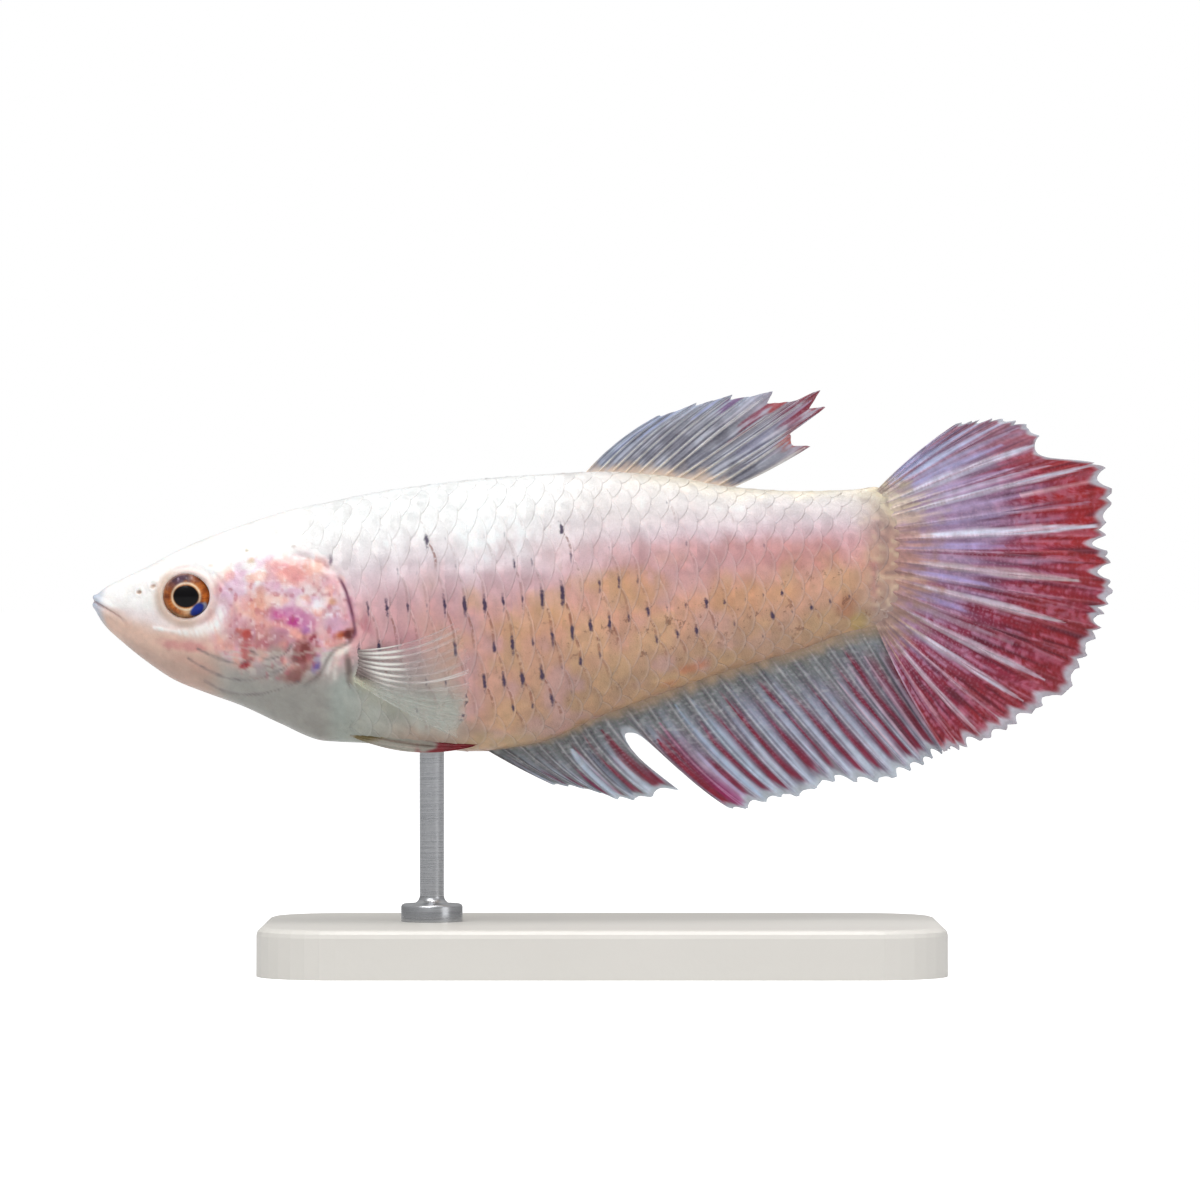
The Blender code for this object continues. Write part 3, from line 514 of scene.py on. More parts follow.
# Blotches: back, up, half length, half height, tilt in degrees, tint, strength.
HEAD_BLOTCHES = (
    (8.7, 0.6, 1.3, 1.5, 10, (222, 178, 204), 0.70),
    (8.6, -1.2, 1.2, 0.8, 10, (216, 160, 180), 0.70),
    (12.3, 1.65, 1.7, 0.80, -8, (234, 150, 146), 0.80),
    (13.9, 1.9, 0.9, 0.6, 20, (240, 186, 166), 0.65),
    (11.2, 1.0, 0.8, 0.9, 0, (224, 172, 192), 0.60),
    (10.3, -0.3, 1.0, 0.95, 20, (226, 154, 132), 0.75),
    (14.9, 0.9, 0.9, 0.7, 0, (232, 176, 176), 0.60),
    (12.4, -1.2, 1.6, 0.85, -8, (200, 110, 168), 0.65),
    (12.5, -1.35, 0.50, 0.40, 0, (184, 36, 128), 0.75),
    (11.7, -0.9, 0.35, 0.28, 0, (214, 70, 140), 0.55),
    (13.3, -1.9, 0.45, 0.35, 10, (150, 84, 172), 0.65),
    (14.0, -0.4, 0.55, 0.50, 30, (250, 244, 250), 0.95),
    (14.9, -0.75, 0.55, 0.35, 10, (244, 236, 244), 0.85),
    (13.2, -0.15, 0.40, 0.28, -20, (246, 226, 238), 0.75),
    (15.2, -1.5, 0.75, 0.65, 0, (208, 164, 190), 0.75),
    (14.9, -0.1, 0.30, 0.30, 0, (206, 146, 110), 0.65),
    (9.65, -2.10, 0.38, 0.34, 0, (204, 48, 38), 0.95),
    (9.15, -1.85, 0.22, 0.18, 0, (206, 96, 84), 0.75),
    (11.0, -2.6, 2.4, 1.2, -8, (158, 104, 106), 0.50),
    (9.7, -3.2, 0.60, 0.95, 5, (190, 92, 88), 0.75),
    (9.45, -4.05, 0.48, 0.26, 12, (150, 30, 38), 0.95),
    (10.7, -2.6, 0.7, 0.5, 15, (180, 104, 118), 0.65),
    (11.6, -3.3, 1.1, 0.7, 20, (158, 150, 142), 0.75),
    (10.4, -3.3, 0.7, 0.5, -20, (198, 190, 178), 0.60),
    (13.2, -3.2, 0.70, 1.35, -12, (118, 48, 46), 0.90),
    (12.6, -4.5, 1.2, 0.55, 25, (134, 76, 72), 0.75),
    (13.7, -2.4, 0.35, 0.30, 0, (146, 40, 60), 0.70),
    (13.9, -4.1, 0.32, 0.60, -15, (104, 84, 156), 0.85),
    (14.55, -3.7, 0.35, 1.1, -14, (226, 226, 222), 0.90),
    (15.3, -3.15, 0.75, 0.35, 25, (236, 232, 220), 0.85),
    # Painted shadow beside the pectoral fin's fleshy root.
    (15.9, -4.0, 0.30, 1.10, 5, (104, 88, 84), 0.85),
    (15.55, -2.15, 0.75, 0.36, 12, (170, 78, 40), 0.90),
    (15.85, -2.10, 0.42, 0.34, 30, (92, 26, 30), 0.90),
    (6.2, -2.85, 2.1, 0.40, -6, (206, 138, 136), 0.75),
    (8.3, -2.75, 1.1, 0.42, 10, (204, 144, 144), 0.60),
    (6.4, -3.9, 2.0, 0.45, -18, (206, 164, 150), 0.50),
    # Painted shade in the two nostril pits.
    (3.85, 0.85, 0.22, 0.16, 20, (172, 138, 118), 0.85),
    (2.95, 0.45, 0.16, 0.12, 0, (188, 160, 142), 0.85),
    (9.6, 3.05, 0.18, 0.12, 0, (176, 160, 130), 0.75),
    (9.9, 2.45, 0.28, 0.18, 20, (216, 186, 150), 0.70),
    (7.4, 2.1, 0.35, 0.2, 10, (232, 206, 190), 0.60),
    (12.5, 3.3, 0.14, 0.12, 0, (190, 178, 170), 0.60),
    (14.8, 2.4, 0.13, 0.30, -10, (128, 110, 128), 0.80),
    (16.9, -4.9, 0.9, 0.55, -25, (226, 222, 196), 0.75),
    (18.2, -6.2, 1.5, 0.60, -20, (176, 172, 150), 0.40),
)
BODY_BLOTCHES = (
    (43.6, 2.8, 4.2, 0.9, -3, (208, 138, 130), 0.45),
    (39.0, 3.0, 6.5, 0.9, 2, (220, 158, 158), 0.30),
    (33.0, 3.0, 8.0, 0.9, 0, (222, 168, 166), 0.25),
    (40.5, 0.2, 4.0, 0.8, 4, (212, 158, 112), 0.50),
    (33.0, 0.9, 3.5, 0.9, 0, (218, 164, 116), 0.45),
    (47.4, -1.5, 0.7, 0.6, 20, (200, 170, 92), 0.65),
    (46.4, -0.3, 0.5, 0.7, 0, (186, 116, 84), 0.50),
    (48.2, 1.4, 0.30, 1.9, 0, (198, 116, 128), 0.60),
    (36.8, -4.2, 1.2, 0.35, 16, (206, 112, 76), 0.50),
    (35.6, -5.1, 0.9, 0.3, 16, (206, 118, 78), 0.40),
    (25.0, -8.8, 3.0, 0.7, 8, (206, 172, 124), 0.50),
    (17.0, -1.6, 0.4, 0.5, 0, (188, 96, 110), 0.50),
    (19.2, -2.4, 1.4, 0.7, 0, (206, 140, 148), 0.45),
    (28.6, -0.9, 1.6, 0.7, 0, (222, 170, 118), 0.55),
    (26.0, -1.8, 2.0, 0.5, 0, (220, 166, 124), 0.45),
)


def body_colour(place):
    """Colour of the skin and its scales: pearl on the back, then lilac, rose and peach down the flank, grey
    on throat and belly, with blotches on the cheek and the gill cover. The paling towards the back and the
    darkening towards the belly are partly the fish's own tints and partly painted light and shade from above."""
    back, up = place[..., 0], place[..., 2]
    share = height_share(back, up)
    broad = noise(place, 2.6, 3)
    patch = noise(place, 1.3, 6)
    fine = noise(place, 0.7, 4)
    grain = noise(place, 0.28, 5)
    share = share + 0.03 * broad + 0.02 * fine + 0.006 * grain
    rear = eased(24.0, 44.0, back)
    wash = Wash(PEARL, place)
    wash.lay((240, 230, 226), 0.8 * eased(26.0, 32.0, back))
    wash.lay(LILAC, faded(0.54 + 0.12 * rear, 0.88 + 0.10 * rear, share))
    wash.lay(ROSE, 0.9 * faded(0.46 + 0.14 * rear, 0.72 + 0.10 * rear, share))
    wash.lay(PEACH, 0.8 * eased(19.0, 28.0, back) * faded(0.38, 0.64, share))
    wash.lay(TAN, eased(18.0, 30.0, back) * faded(0.06, 0.46, share))
    gold = eased(0.05, 0.55, patch + 0.3 * fine) * eased(18.0, 24.0, back) * faded(0.52, 0.70, share)
    wash.lay(GOLD, 0.50 * gold)
    pink = eased(0.05, 0.55, -patch + 0.3 * fine) * eased(16.0, 20.0, back) * faded(32.0, 48.0, back)
    wash.lay((202, 158, 164), 0.55 * pink * faded(0.60, 0.75, share))
    wash.lay(CREAM, 0.5 * eased(30.0, 36.0, back) * eased(0.90, 1.0, share))
    head = faded(8.5, 17.0, back)
    wash.lay(PEARL, head * eased(0.46, 0.60, share))
    jaw_line = -0.40 - 0.38 * np.minimum(back, 4.2)
    jaw = faded(-0.40, 0.65, up - jaw_line + 0.15 * fine)
    front = faded(7.0, 9.5, back)
    wash.lay(PEARL, 0.8 * front)
    wash.lay(JAW, front * jaw)
    wash.lay(LOW_JAW, front * faded(-2.2, -0.6, up - jaw_line + 0.1 * fine) * eased(0.6, 2.5, back))
    # Greyer and darker low on the body: partly the throat's and belly's own tint, partly painted shade.
    low = faded(0.14, 0.34, share - 0.10 * eased(12.0, 16.0, back)) * eased(6.5, 9.5, back)
    wash.lay(THROAT, low * faded(17.0, 24.0, back))
    belly = faded(0.18, 0.32, share) * eased(15.0, 17.0, back)
    belly = belly * faded(22.4, 23.6, back + 1.5 * share + 0.3 * fine)
    wash.lay(BELLY, 0.9 * belly)
    under = faded(0.04, 0.13, share) * eased(17.0, 20.0, back) * faded(26.0, 29.0, back)
    wash.lay((186, 158, 142), 0.8 * under)
    wash.lay(SNOUT, 0.9 * faded(0.15, 1.05, back + 0.15 * fine))
    cheek = eased(-0.3, 0.5, depth_inside(back, up, CHEEK))
    spots = noise(place, 0.5, 7)
    tiny = noise(place, 0.2, 9)
    wash.lay((216, 164, 196), 0.60 * cheek * eased(-0.1, 0.55, spots + 0.1 * tiny))
    wash.lay((230, 156, 132), 0.50 * cheek * eased(0.10, 0.5, fine + 0.2 * tiny))
    pale = cheek * eased(0.1, 0.7, -spots + 0.1 * tiny) * eased(-3.2, -1.0, up)
    wash.lay((246, 228, 226), 0.60 * pale)
    greyer = faded(-4.5, -3.3, up + 0.35 * fine) * eased(7.0, 9.5, back) * faded(14.0, 15.5, back)
    wash.lay((154, 150, 144), 0.80 * greyer)
    ragged = 0.44 * fine + 0.24 * broad + 0.14 * grain + 0.10 * tiny
    wash.lay_blotches(HEAD_BLOTCHES, ragged)
    wash.lay_blotches(BODY_BLOTCHES, 0.3 * broad + 0.3 * fine + 0.2 * grain)
    red = cheek * eased(0.30, 0.65, noise(place, 0.32, 8) + 0.25 * tiny) * faded(0.5, 1.8, up)
    wash.lay((178, 92, 104), 0.45 * red)
    # Painted highlights: small white glints low on the cheek.
    glints = cheek * eased(0.25, 0.8, tiny + 0.3 * spots) * eased(-3.6, -2.4, up)
    wash.lay((252, 244, 246), 0.40 * glints)
    streaks = cheek * faded(-3.2, -2.2, up) * eased(0.0, 0.5, noise(place * (0.6, 1.0, 2.4), 0.35, 14))
    wash.lay((206, 204, 196), 0.50 * streaks)
    beside = line_distance(back, up, EYE_RIDGE) + 0.06 * fine
    silver = bell(beside, ridge_width(back)) * silver_strokes(place)
    around = bell(beside - 1.5 * ridge_width(back), 0.30) * eased(4.6, 6.4, back)
    wash.lay((206, 158, 156), 0.50 * around * (0.7 + 0.4 * fine))
    wash.lay((253, 251, 249), 0.95 * silver)
    eye = eye_distance(back, up)
    before = faded(5.2, 6.6, back + 0.5 * up)
    wash.lay((212, 182, 162), (0.30 + 0.45 * before) * bell(eye - 1.18, 0.10 + 0.14 * before))
    wash.lay((240, 212, 206), 0.60 * bell(eye - 1.12, 0.10) * (1 - before))
    wash.lay((190, 152, 146), 0.35 * bell(eye - 1.36, 0.08) * eased(-0.6, 0.4, fine) * (1 - before))
    # Painted shade in the groove of the mouth between the lips.
    lips = line_distance(back, up, MOUTH_LINE)
    wash.lay((186, 150, 144), 0.45 * bell(lips, 0.07) * (1 - 0.6 * eased(1.2, 2.1, back)))
    # Painted shade in the creases of the throat folds.
    for fold in THROAT_FOLDS:
        crease_shade = bell(line_distance(back, up, fold) + 0.06 * fine, 0.07)
        wash.lay((104, 94, 98), 0.60 * crease_shade * (0.45 + 0.55 * eased(-0.4, 0.4, spots)))
    for ridge in SHOULDER_RIDGES:
        wash.lay((240, 238, 230), 0.45 * bell(line_distance(back, up, ridge) + 0.05 * fine, 0.19))
    # Painted shade in the slit behind the gill cover's edge: dark wine higher up, grey lower down.
    deep = depth_inside(back, up, COVER) + 0.05 * fine
    slit = eased(14.2, 15.3, back) * bell(deep + 0.20, 0.10) * (0.75 + 0.3 * fine)
    wash.lay((84, 34, 62), 0.90 * slit * eased(-2.7, -2.1, up) * faded(0.9, 1.6, up))
    lower_slit_shade = eased(12.8, 14.0, back) * bell(deep + 0.22, 0.13) * faded(-2.7, -2.1, up)
    wash.lay((120, 104, 102), 0.50 * lower_slit_shade)
    root = eased(46.6, 49.4, back + 0.35 * fine)
    tail = Wash(TAIL_ROOT, place)
    tail.lay(CREAM, eased(0.66, 0.90, share))
    # Darker low on the stalk: partly painted shade.
    tail.lay((160, 138, 134), faded(0.10, 0.35, share))
    wash.lay(tail.colour, 0.85 * root)
    wash.lay((214, 196, 166), 0.50 * root * eased(0.1, 0.6, grain))
    wash.lay((140, 112, 116), 0.35 * root * eased(0.2, 0.7, -grain))
    wash.shade(1 + 0.030 * broad + 0.035 * fine + 0.045 * grain * eased(8.0, 20.0, back) + 0.02 * grain)
    return np.clip(wash.colour, 0.0, 1.0)


# Shader nodes

# Depths of what materials add to the mesh, in metres
SKIN_BUMP = 0.000018
FILM_BUMP = 0.00002
FINE_BUMP = 0.00001


def feed(tree, value, socket):
    """Links a socket to another one, or sets it to a plain value."""
    if isinstance(value, bpy.types.NodeSocket):
        tree.links.new(value, socket)
    else:
        socket.default_value = value


def set_inputs(made, values):
    for key, value in values.items():
        made.inputs[key].default_value = value


def new_material(name, roughness, metallic=0.0, coat=0.0, more=()):
    made = bpy.data.materials.new(name)
    made.use_nodes = True
    shader = made.node_tree.nodes["Principled BSDF"]
    plain = {"Roughness": roughness, "Metallic": metallic, "Coat Weight": coat, "Coat Roughness": 0.12}
    set_inputs(shader, {**plain, **dict(more)})
    return made, made.node_tree, shader


def new_group(name, inputs, outputs):
    """A node group of plain numbers, with its input and output nodes."""
    group = bpy.data.node_groups.new(name, "ShaderNodeTree")
    for way, sockets in (("INPUT", inputs), ("OUTPUT", outputs)):
        for socket in sockets:
            group.interface.new_socket(name=socket, in_out=way, socket_type="NodeSocketFloat")
    return group, group.nodes.new("NodeGroupInput"), group.nodes.new("NodeGroupOutput")


def on_object(tree, *textures):
    """Lays textures on the object's own coordinates."""
    coords = tree.nodes.new("ShaderNodeTexCoord")
    for texture in textures:
        tree.links.new(coords.outputs["Object"], texture.inputs["Vector"])


def attribute(tree, name, output="Fac"):
    """What a mesh attribute says, as a number or as a colour."""
    return node(tree, "ShaderNodeAttribute", attribute_name=name).outputs[output]


def node(tree, kind, **values):
    made = tree.nodes.new(kind)
    for key, value in values.items():
        if key in made.inputs:
            made.inputs[key].default_value = value
        else:
            setattr(made, key, value)
    return made


def math_node(tree, operation, *values):
    """An operation on numbers. Each may be a socket or a plain number."""
    made = node(tree, "ShaderNodeMath", operation=operation)
    for value, socket in zip(values, made.inputs):
        feed(tree, value, socket)
    return made.outputs[0]


def tint_mix(tree, factor, first, second):
    """A mix of two colours. Each may be a socket or a plain colour."""
    made = node(tree, "ShaderNodeMix", data_type="RGBA")
    for value, k in ((factor, 0), (first, 6), (second, 7)):
        feed(tree, value, made.inputs[k])
    return made.outputs[2]


def flat(tint):
    return (*linear(tone(tint)), 1.0)


def skin_grain_group():
    """Wet skin: fine pores and speckle on Object coordinates. Puts out a height, a shade and a roughness."""
    outputs = ("Height", "Shade", "Roughness")
    group, start, end = new_group("skin_grain", ("Size", "Speckle", "Roughness"), outputs)
    maths = partial(math_node, group)
    fine = node(group, "ShaderNodeTexNoise", Detail=3.0, Roughness=0.6)
    cells = node(group, "ShaderNodeTexVoronoi", Randomness=1.0)
    broad = node(group, "ShaderNodeTexNoise", Detail=2.0)
    on_object(group, fine, cells, broad)
    link = group.links.new
    link(start.outputs["Size"], fine.inputs["Scale"])
    link(maths("MULTIPLY", start.outputs["Size"], 1.7), cells.inputs["Scale"])
    link(maths("MULTIPLY", start.outputs["Size"], 0.22), broad.inputs["Scale"])
    height = maths("MULTIPLY_ADD", cells.outputs["Distance"], -0.6, fine.outputs["Fac"])
    link(height, end.inputs["Height"])
    off = maths("SUBTRACT", fine.outputs["Fac"], 0.5)
    link(maths("MULTIPLY_ADD", off, start.outputs["Speckle"], 1.0), end.inputs["Shade"])
    wet = maths("SUBTRACT", broad.outputs["Fac"], 0.5)
    link(maths("MULTIPLY_ADD", wet, 0.25, start.outputs["Roughness"]), end.inputs["Roughness"])
    return group


def shaded(tree, colour, shade):
    """A colour times a shade."""
    made = node(tree, "ShaderNodeVectorMath", operation="SCALE")
    tree.links.new(colour, made.inputs[0])
    tree.links.new(shade, made.inputs["Scale"])
    return made.outputs[0]


def add_bump(tree, shader, height, distance, strength=1.0):
    """Fine relief of the surface. The distance is its depth in metres."""
    bump = node(tree, "ShaderNodeBump", Strength=strength, Distance=distance)
    tree.links.new(height, bump.inputs["Height"])
    tree.links.new(bump.outputs["Normal"], shader.inputs["Normal"])


FLESH_LIGHT = {
    "Specular IOR Level": 0.35,
    "Subsurface Weight": 0.15,
    "Subsurface Radius": (1.0, 0.45, 0.35),
    "Subsurface Scale": 0.0006,
}
FILM_LIGHT = {
    "Specular IOR Level": 0.25,
    "Coat Roughness": 0.2,
    "Subsurface Weight": 0.10,
    "Subsurface Radius": (0.8, 0.4, 0.4),
    "Subsurface Scale": 0.0004,
}


def flesh_material(name, grain, coat, size, speckle, roughness):
    """Moist skin over flesh: the painted tint with speckle, some light under the surface and a wet film."""
    made, tree, shader = new_material(name, roughness, coat=coat, more=FLESH_LIGHT)
    group = node(tree, "ShaderNodeGroup", node_tree=grain)
    set_inputs(group, {"Size": size, "Speckle": speckle, "Roughness": roughness})
    colour = shaded(tree, attribute(tree, "tint", "Color"), group.outputs["Shade"])
    tree.links.new(group.outputs["Roughness"], shader.inputs["Roughness"])
    return made, tree, shader, colour, group


def skin_material(grain):
    made, tree, shader, colour, group = flesh_material("betta_skin", grain, 0.25, 5200.0, 0.18, 0.36)
    tree.links.new(colour, shader.inputs["Base Color"])
    add_bump(tree, shader, group.outputs["Height"], SKIN_BUMP)
    return made


# A dark mark on a scale, in shares of the scale: along it from the front, and over it from the middle.
MARK_PLACE = 0.91
MARK_HALF_WIDTH = 0.075
MARK_HALF_HEIGHT = 0.27
MARK_SLANT = 0.10


def scale_material(grain):
    """Scales: the body's tint, a little paler along the hind edge, with a violet-black mark on some and fine
    brown flecks low on the rear flank. From a mark a thin brown line runs on over the next scale below."""
    made, tree, shader, colour, group = flesh_material("betta_scales", grain, 0.15, 6500.0, 0.20, 0.34)
    maths = partial(math_node, tree)
    place = node(tree, "ShaderNodeUVMap", uv_map="Blade")
    parts = node(tree, "ShaderNodeSeparateXYZ")
    tree.links.new(place.outputs["UV"], parts.inputs[0])
    along, over = parts.outputs[0], parts.outputs[1]
    ragged = node(tree, "ShaderNodeTexNoise", Scale=2900.0, Detail=4.0, Roughness=0.6)
    fleck = node(tree, "ShaderNodeTexNoise", Scale=1500.0, Detail=5.0, Roughness=0.75)
    on_object(tree, ragged, fleck)
    blot = maths("MULTIPLY_ADD", ragged.outputs["Fac"], 2.2, -1.1)
    strength = attribute(tree, "mark")
    trail = attribute(tree, "trail")
    x = maths("MULTIPLY_ADD", over, MARK_SLANT, along)
    x = maths("MULTIPLY_ADD", x, 1 / MARK_HALF_WIDTH, -MARK_PLACE / MARK_HALF_WIDTH)
    y = maths("DIVIDE", over, MARK_HALF_HEIGHT)
    off = maths("ADD", maths("MULTIPLY", x, x), maths("MULTIPLY", y, y))
    off = maths("ADD", maths("SQRT", off), blot)
    off = maths("SUBTRACT", off, maths("MULTIPLY_ADD", strength, 1.1, -1.1))
    mark = ramp(tree, off, 0.45, 1.35, 1.0, 0.0)
    hold = maths("MINIMUM", maths("MULTIPLY", strength, 1.7), 0.95)
    slant = maths("MULTIPLY_ADD", over, -0.05, maths("SUBTRACT", along, 0.88))
    line = ramp(tree, maths("ABSOLUTE", slant), 0.015, 0.075, 0.80, 0.0)
    upper = ramp(tree, over, -0.10, 0.35, 0.0, 1.0)
    line = maths("MULTIPLY", maths("MULTIPLY", line, upper), trail)
    line = maths("MULTIPLY", line, ramp(tree, ragged.outputs["Fac"], 0.40, 0.56, 0.0, 1.0))
    specks = ramp(tree, fleck.outputs["Fac"], 0.57, 0.66, 0.0, 0.70)
    specks = maths("MULTIPLY", specks, attribute(tree, "fleck"))
    pale_edge = ramp(tree, along, 0.86, 1.0, 0.0, 0.12)
    mark = maths("MULTIPLY", mark, hold)
    for mask, tint in (
        (pale_edge, (246, 238, 238)), (specks, (132, 84, 66)), (line, (140, 76, 58)), (mark, INK),
    ):
        colour = tint_mix(tree, mask, colour, flat(tint))
    tree.links.new(colour, shader.inputs["Base Color"])
    add_bump(tree, shader, group.outputs["Height"], FILM_BUMP)
    return made


def ramp(tree, value, low, high, at_low, at_high):
    """A smooth step from one number to another, while the value goes from low to high."""
    made = node(tree, "ShaderNodeMapRange", interpolation_type="SMOOTHSTEP")
    set_inputs(made, {"From Min": low, "From Max": high, "To Min": at_low, "To Max": at_high})
    tree.links.new(value, made.inputs["Value"])
    return made.outputs[0]


# Skin


HEAD_LENGTH = 16.8  # back to where the skin's rings can lie further apart
SKIN_RINGS = (290, 84, 22)  # on the head, the flank and the stalk's end
SKIN_COLUMNS = 248


def skin_rows():
    """Places of the skin's rings: close together on the head, where the detail is."""
    head = HEAD_LENGTH * np.linspace(0.0, 1.0, SKIN_RINGS[0]) ** 1.2
    flank = np.linspace(HEAD_LENGTH, STALK_END, SKIN_RINGS[1])[1:]
    end = STALK_END + STALK_ROUND_LENGTH * np.sin(np.radians(np.linspace(0, 86, SKIN_RINGS[2])[1:]))
    return np.concatenate([head, flank, end])


def build_skin(material):
    """One surface from snout to tail root: rings of points, each moved along its normal by the relief."""
    back = skin_rows()
    count = SKIN_COLUMNS
    turn = np.linspace(0, 2 * math.pi, count, endpoint=False)
    turn = turn - 0.22 * np.sin(2 * turn)  # closer together on the flanks than on back and belly
    rings = on_skin(*np.broadcast_arrays(back[:, None], turn[None]))
    rows = len(back)
    ends = np.array([rings[0].mean(axis=0) - (0.03, 0, 0), rings[-1].mean(axis=0) + (0.02, 0, 0)])
    points = np.vstack([rings.reshape(-1, 3), ends])
    quads = grid_quads(rows, count, wrap=True)
    r, c = np.divmod(np.arange((rows - 1) * count), count)
    share = back / back[-1]
    u = np.stack([share[r], share[r], share[r + 1], share[r + 1]], axis=1)
    v = np.stack([c, c + 1, c + 1, c], axis=1) / count
    quad_map = np.stack([u, v], axis=-1).reshape(-1, 2)
    fan_u = np.repeat([0.0, 1.0], count)[:, None] * np.ones(3)
    fan_v = np.stack([np.tile(np.arange(count), 2) / count] * 3, axis=1) + [0.5 / count, 1 / count, 0.0]
    unwrap = np.vstack([quad_map, np.stack([fan_u, fan_v], axis=-1).reshape(-1, 2)])
    fans = pole_fans(rows, count)
    skin = make_piece("skin", points, quads, material, body_colour(points), fans, {"OFBake": unwrap})
    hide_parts("head", "lower_jaw", "gill_cover_left", "gill_cover_right", "trunk", "tail_stalk")


# Scales

# Dark marks on the hind edges of scales: back, up, strength.
MARKS = (
    (17.6, 0.1, 0.5), (18.5, 0.1, 0.8), (19.7, 0.0, 0.5), (20.8, 0.0, 0.35), (22.0, 0.0, 0.75),
    (23.1, -0.6, 0.9), (24.3, -0.4, 0.85), (25.4, -0.4, 0.6), (26.8, -0.5, 0.5), (28.1, -0.4, 0.9),
    (29.2, -0.1, 1.0), (30.4, 0.0, 0.3), (31.5, 0.6, 0.3), (32.8, 0.7, 0.55), (33.9, 0.6, 0.45),
    (17.1, -1.8, 0.6), (18.2, -2.1, 0.9), (19.2, -2.0, 0.4), (21.5, -2.3, 0.35), (22.7, -2.5, 0.8),
    (23.7, -2.6, 0.3), (24.9, -2.8, 0.7), (26.2, -2.8, 0.9), (27.5, -2.9, 0.5), (28.8, -2.4, 0.8),
    (30.0, -2.1, 0.9), (31.2, -2.2, 0.9), (32.5, -1.7, 0.8), (33.5, -1.2, 0.5), (34.6, -0.8, 0.8),
    (35.8, -0.9, 0.5), (37.0, -0.8, 0.4), (38.1, -0.5, 0.8), (39.4, -0.5, 0.5), (40.6, -0.5, 0.4),
    (41.7, -0.3, 0.45), (42.9, 0.1, 0.6), (43.9, 0.2, 0.3), (45.4, 0.3, 0.5), (46.4, 0.4, 0.4),
    (18.6, -4.0, 0.35), (21.9, -4.4, 0.6), (23.1, -4.7, 0.35), (24.3, -5.0, 0.9), (25.5, -5.2, 0.85),
    (26.8, -4.9, 0.9), (28.3, -4.8, 1.0), (29.4, -4.3, 0.45), (30.9, -4.1, 0.75), (32.0, -3.8, 0.6),
    (35.5, -2.7, 0.6), (36.6, -2.5, 0.75), (37.7, -2.3, 0.8), (38.8, -1.8, 0.5), (39.9, -1.8, 0.4),
    (41.2, -1.9, 0.4), (42.4, -1.3, 0.9), (43.5, -0.9, 0.4), (44.6, -0.6, 0.6),
    (20.2, -5.9, 0.5), (21.2, -5.6, 0.5), (22.4, -5.8, 0.4), (25.9, -6.8, 0.75), (27.4, -6.6, 0.5),
    (28.8, -6.4, 0.95), (30.0, -5.9, 0.3), (31.0, -5.6, 0.3),
    (18.8, 2.0, 0.3), (19.9, 2.0, 0.25), (21.0, 2.1, 0.35), (22.1, 1.9, 0.4), (23.4, 1.7, 0.4),
    (25.7, 1.9, 0.55), (26.9, 1.8, 0.45), (28.0, 1.8, 0.35), (30.3, 1.9, 0.5), (31.4, 1.9, 0.5),
    (20.8, 3.7, 1.0), (22.0, 3.7, 0.25), (24.2, 3.8, 0.3), (25.4, 3.8, 0.3), (29.0, 3.9, 0.95),
    (31.4, 3.8, 0.3), (32.7, 3.9, 0.3), (36.2, 3.9, 0.4), (36.0, 5.5, 0.4), (38.6, 5.3, 0.3),
    (33.1, 2.3, 0.35), (37.9, 2.4, 0.3), (20.4, 5.3, 0.25), (26.0, 5.4, 0.25), (41.3, 4.0, 0.3),
)


FIRST_SCALE = 14.2
LAST_SCALE = 49.3
CLEAR_OF_COVER = 0.55
SCALE_LENGTH = 1.62 * SCALE_EXPOSED  # with the part that the scale in front covers
SCALE_HIND_CURVE = 0.62 * SCALE_EXPOSED
SCALE_HALF_TURN = 0.99 * SCALE_ROW_TURN
SCALE_LIFT = 0.070
SCALE_SINK = 0.035  # of the front edge
SCALE_THICKNESS = 0.030


def scale_lattice():
    """Hind tip (back) and turn of every scale: rows at equal turns round the body, with every other row
    moved back by half of what shows of a scale. The cheek and the gill cover have none that stand out."""
    rows = np.arange(round(2 * math.pi / SCALE_ROW_TURN))
    columns = np.arange(-14, 27)
    row, column = (v.ravel() for v in np.meshgrid(rows, columns, indexing="ij"))
    hind = SCALE_PHASE + SCALE_EXPOSED * (column + 0.5 * (row % 2))
    turn = row * SCALE_ROW_TURN
    up = body_point(hind, turn)[:, 2]
    share = height_share(hind, up)
    deep = depth_inside(hind, up, COVER)
    first = FIRST_SCALE + 2.4 * faded(0.55, 0.75, share) - 0.6 * eased(0.8, 1.0, share)
    keep = (hind > first) & (deep < -CLEAR_OF_COVER) & (hind < LAST_SCALE)
    return hind[keep], turn[keep]


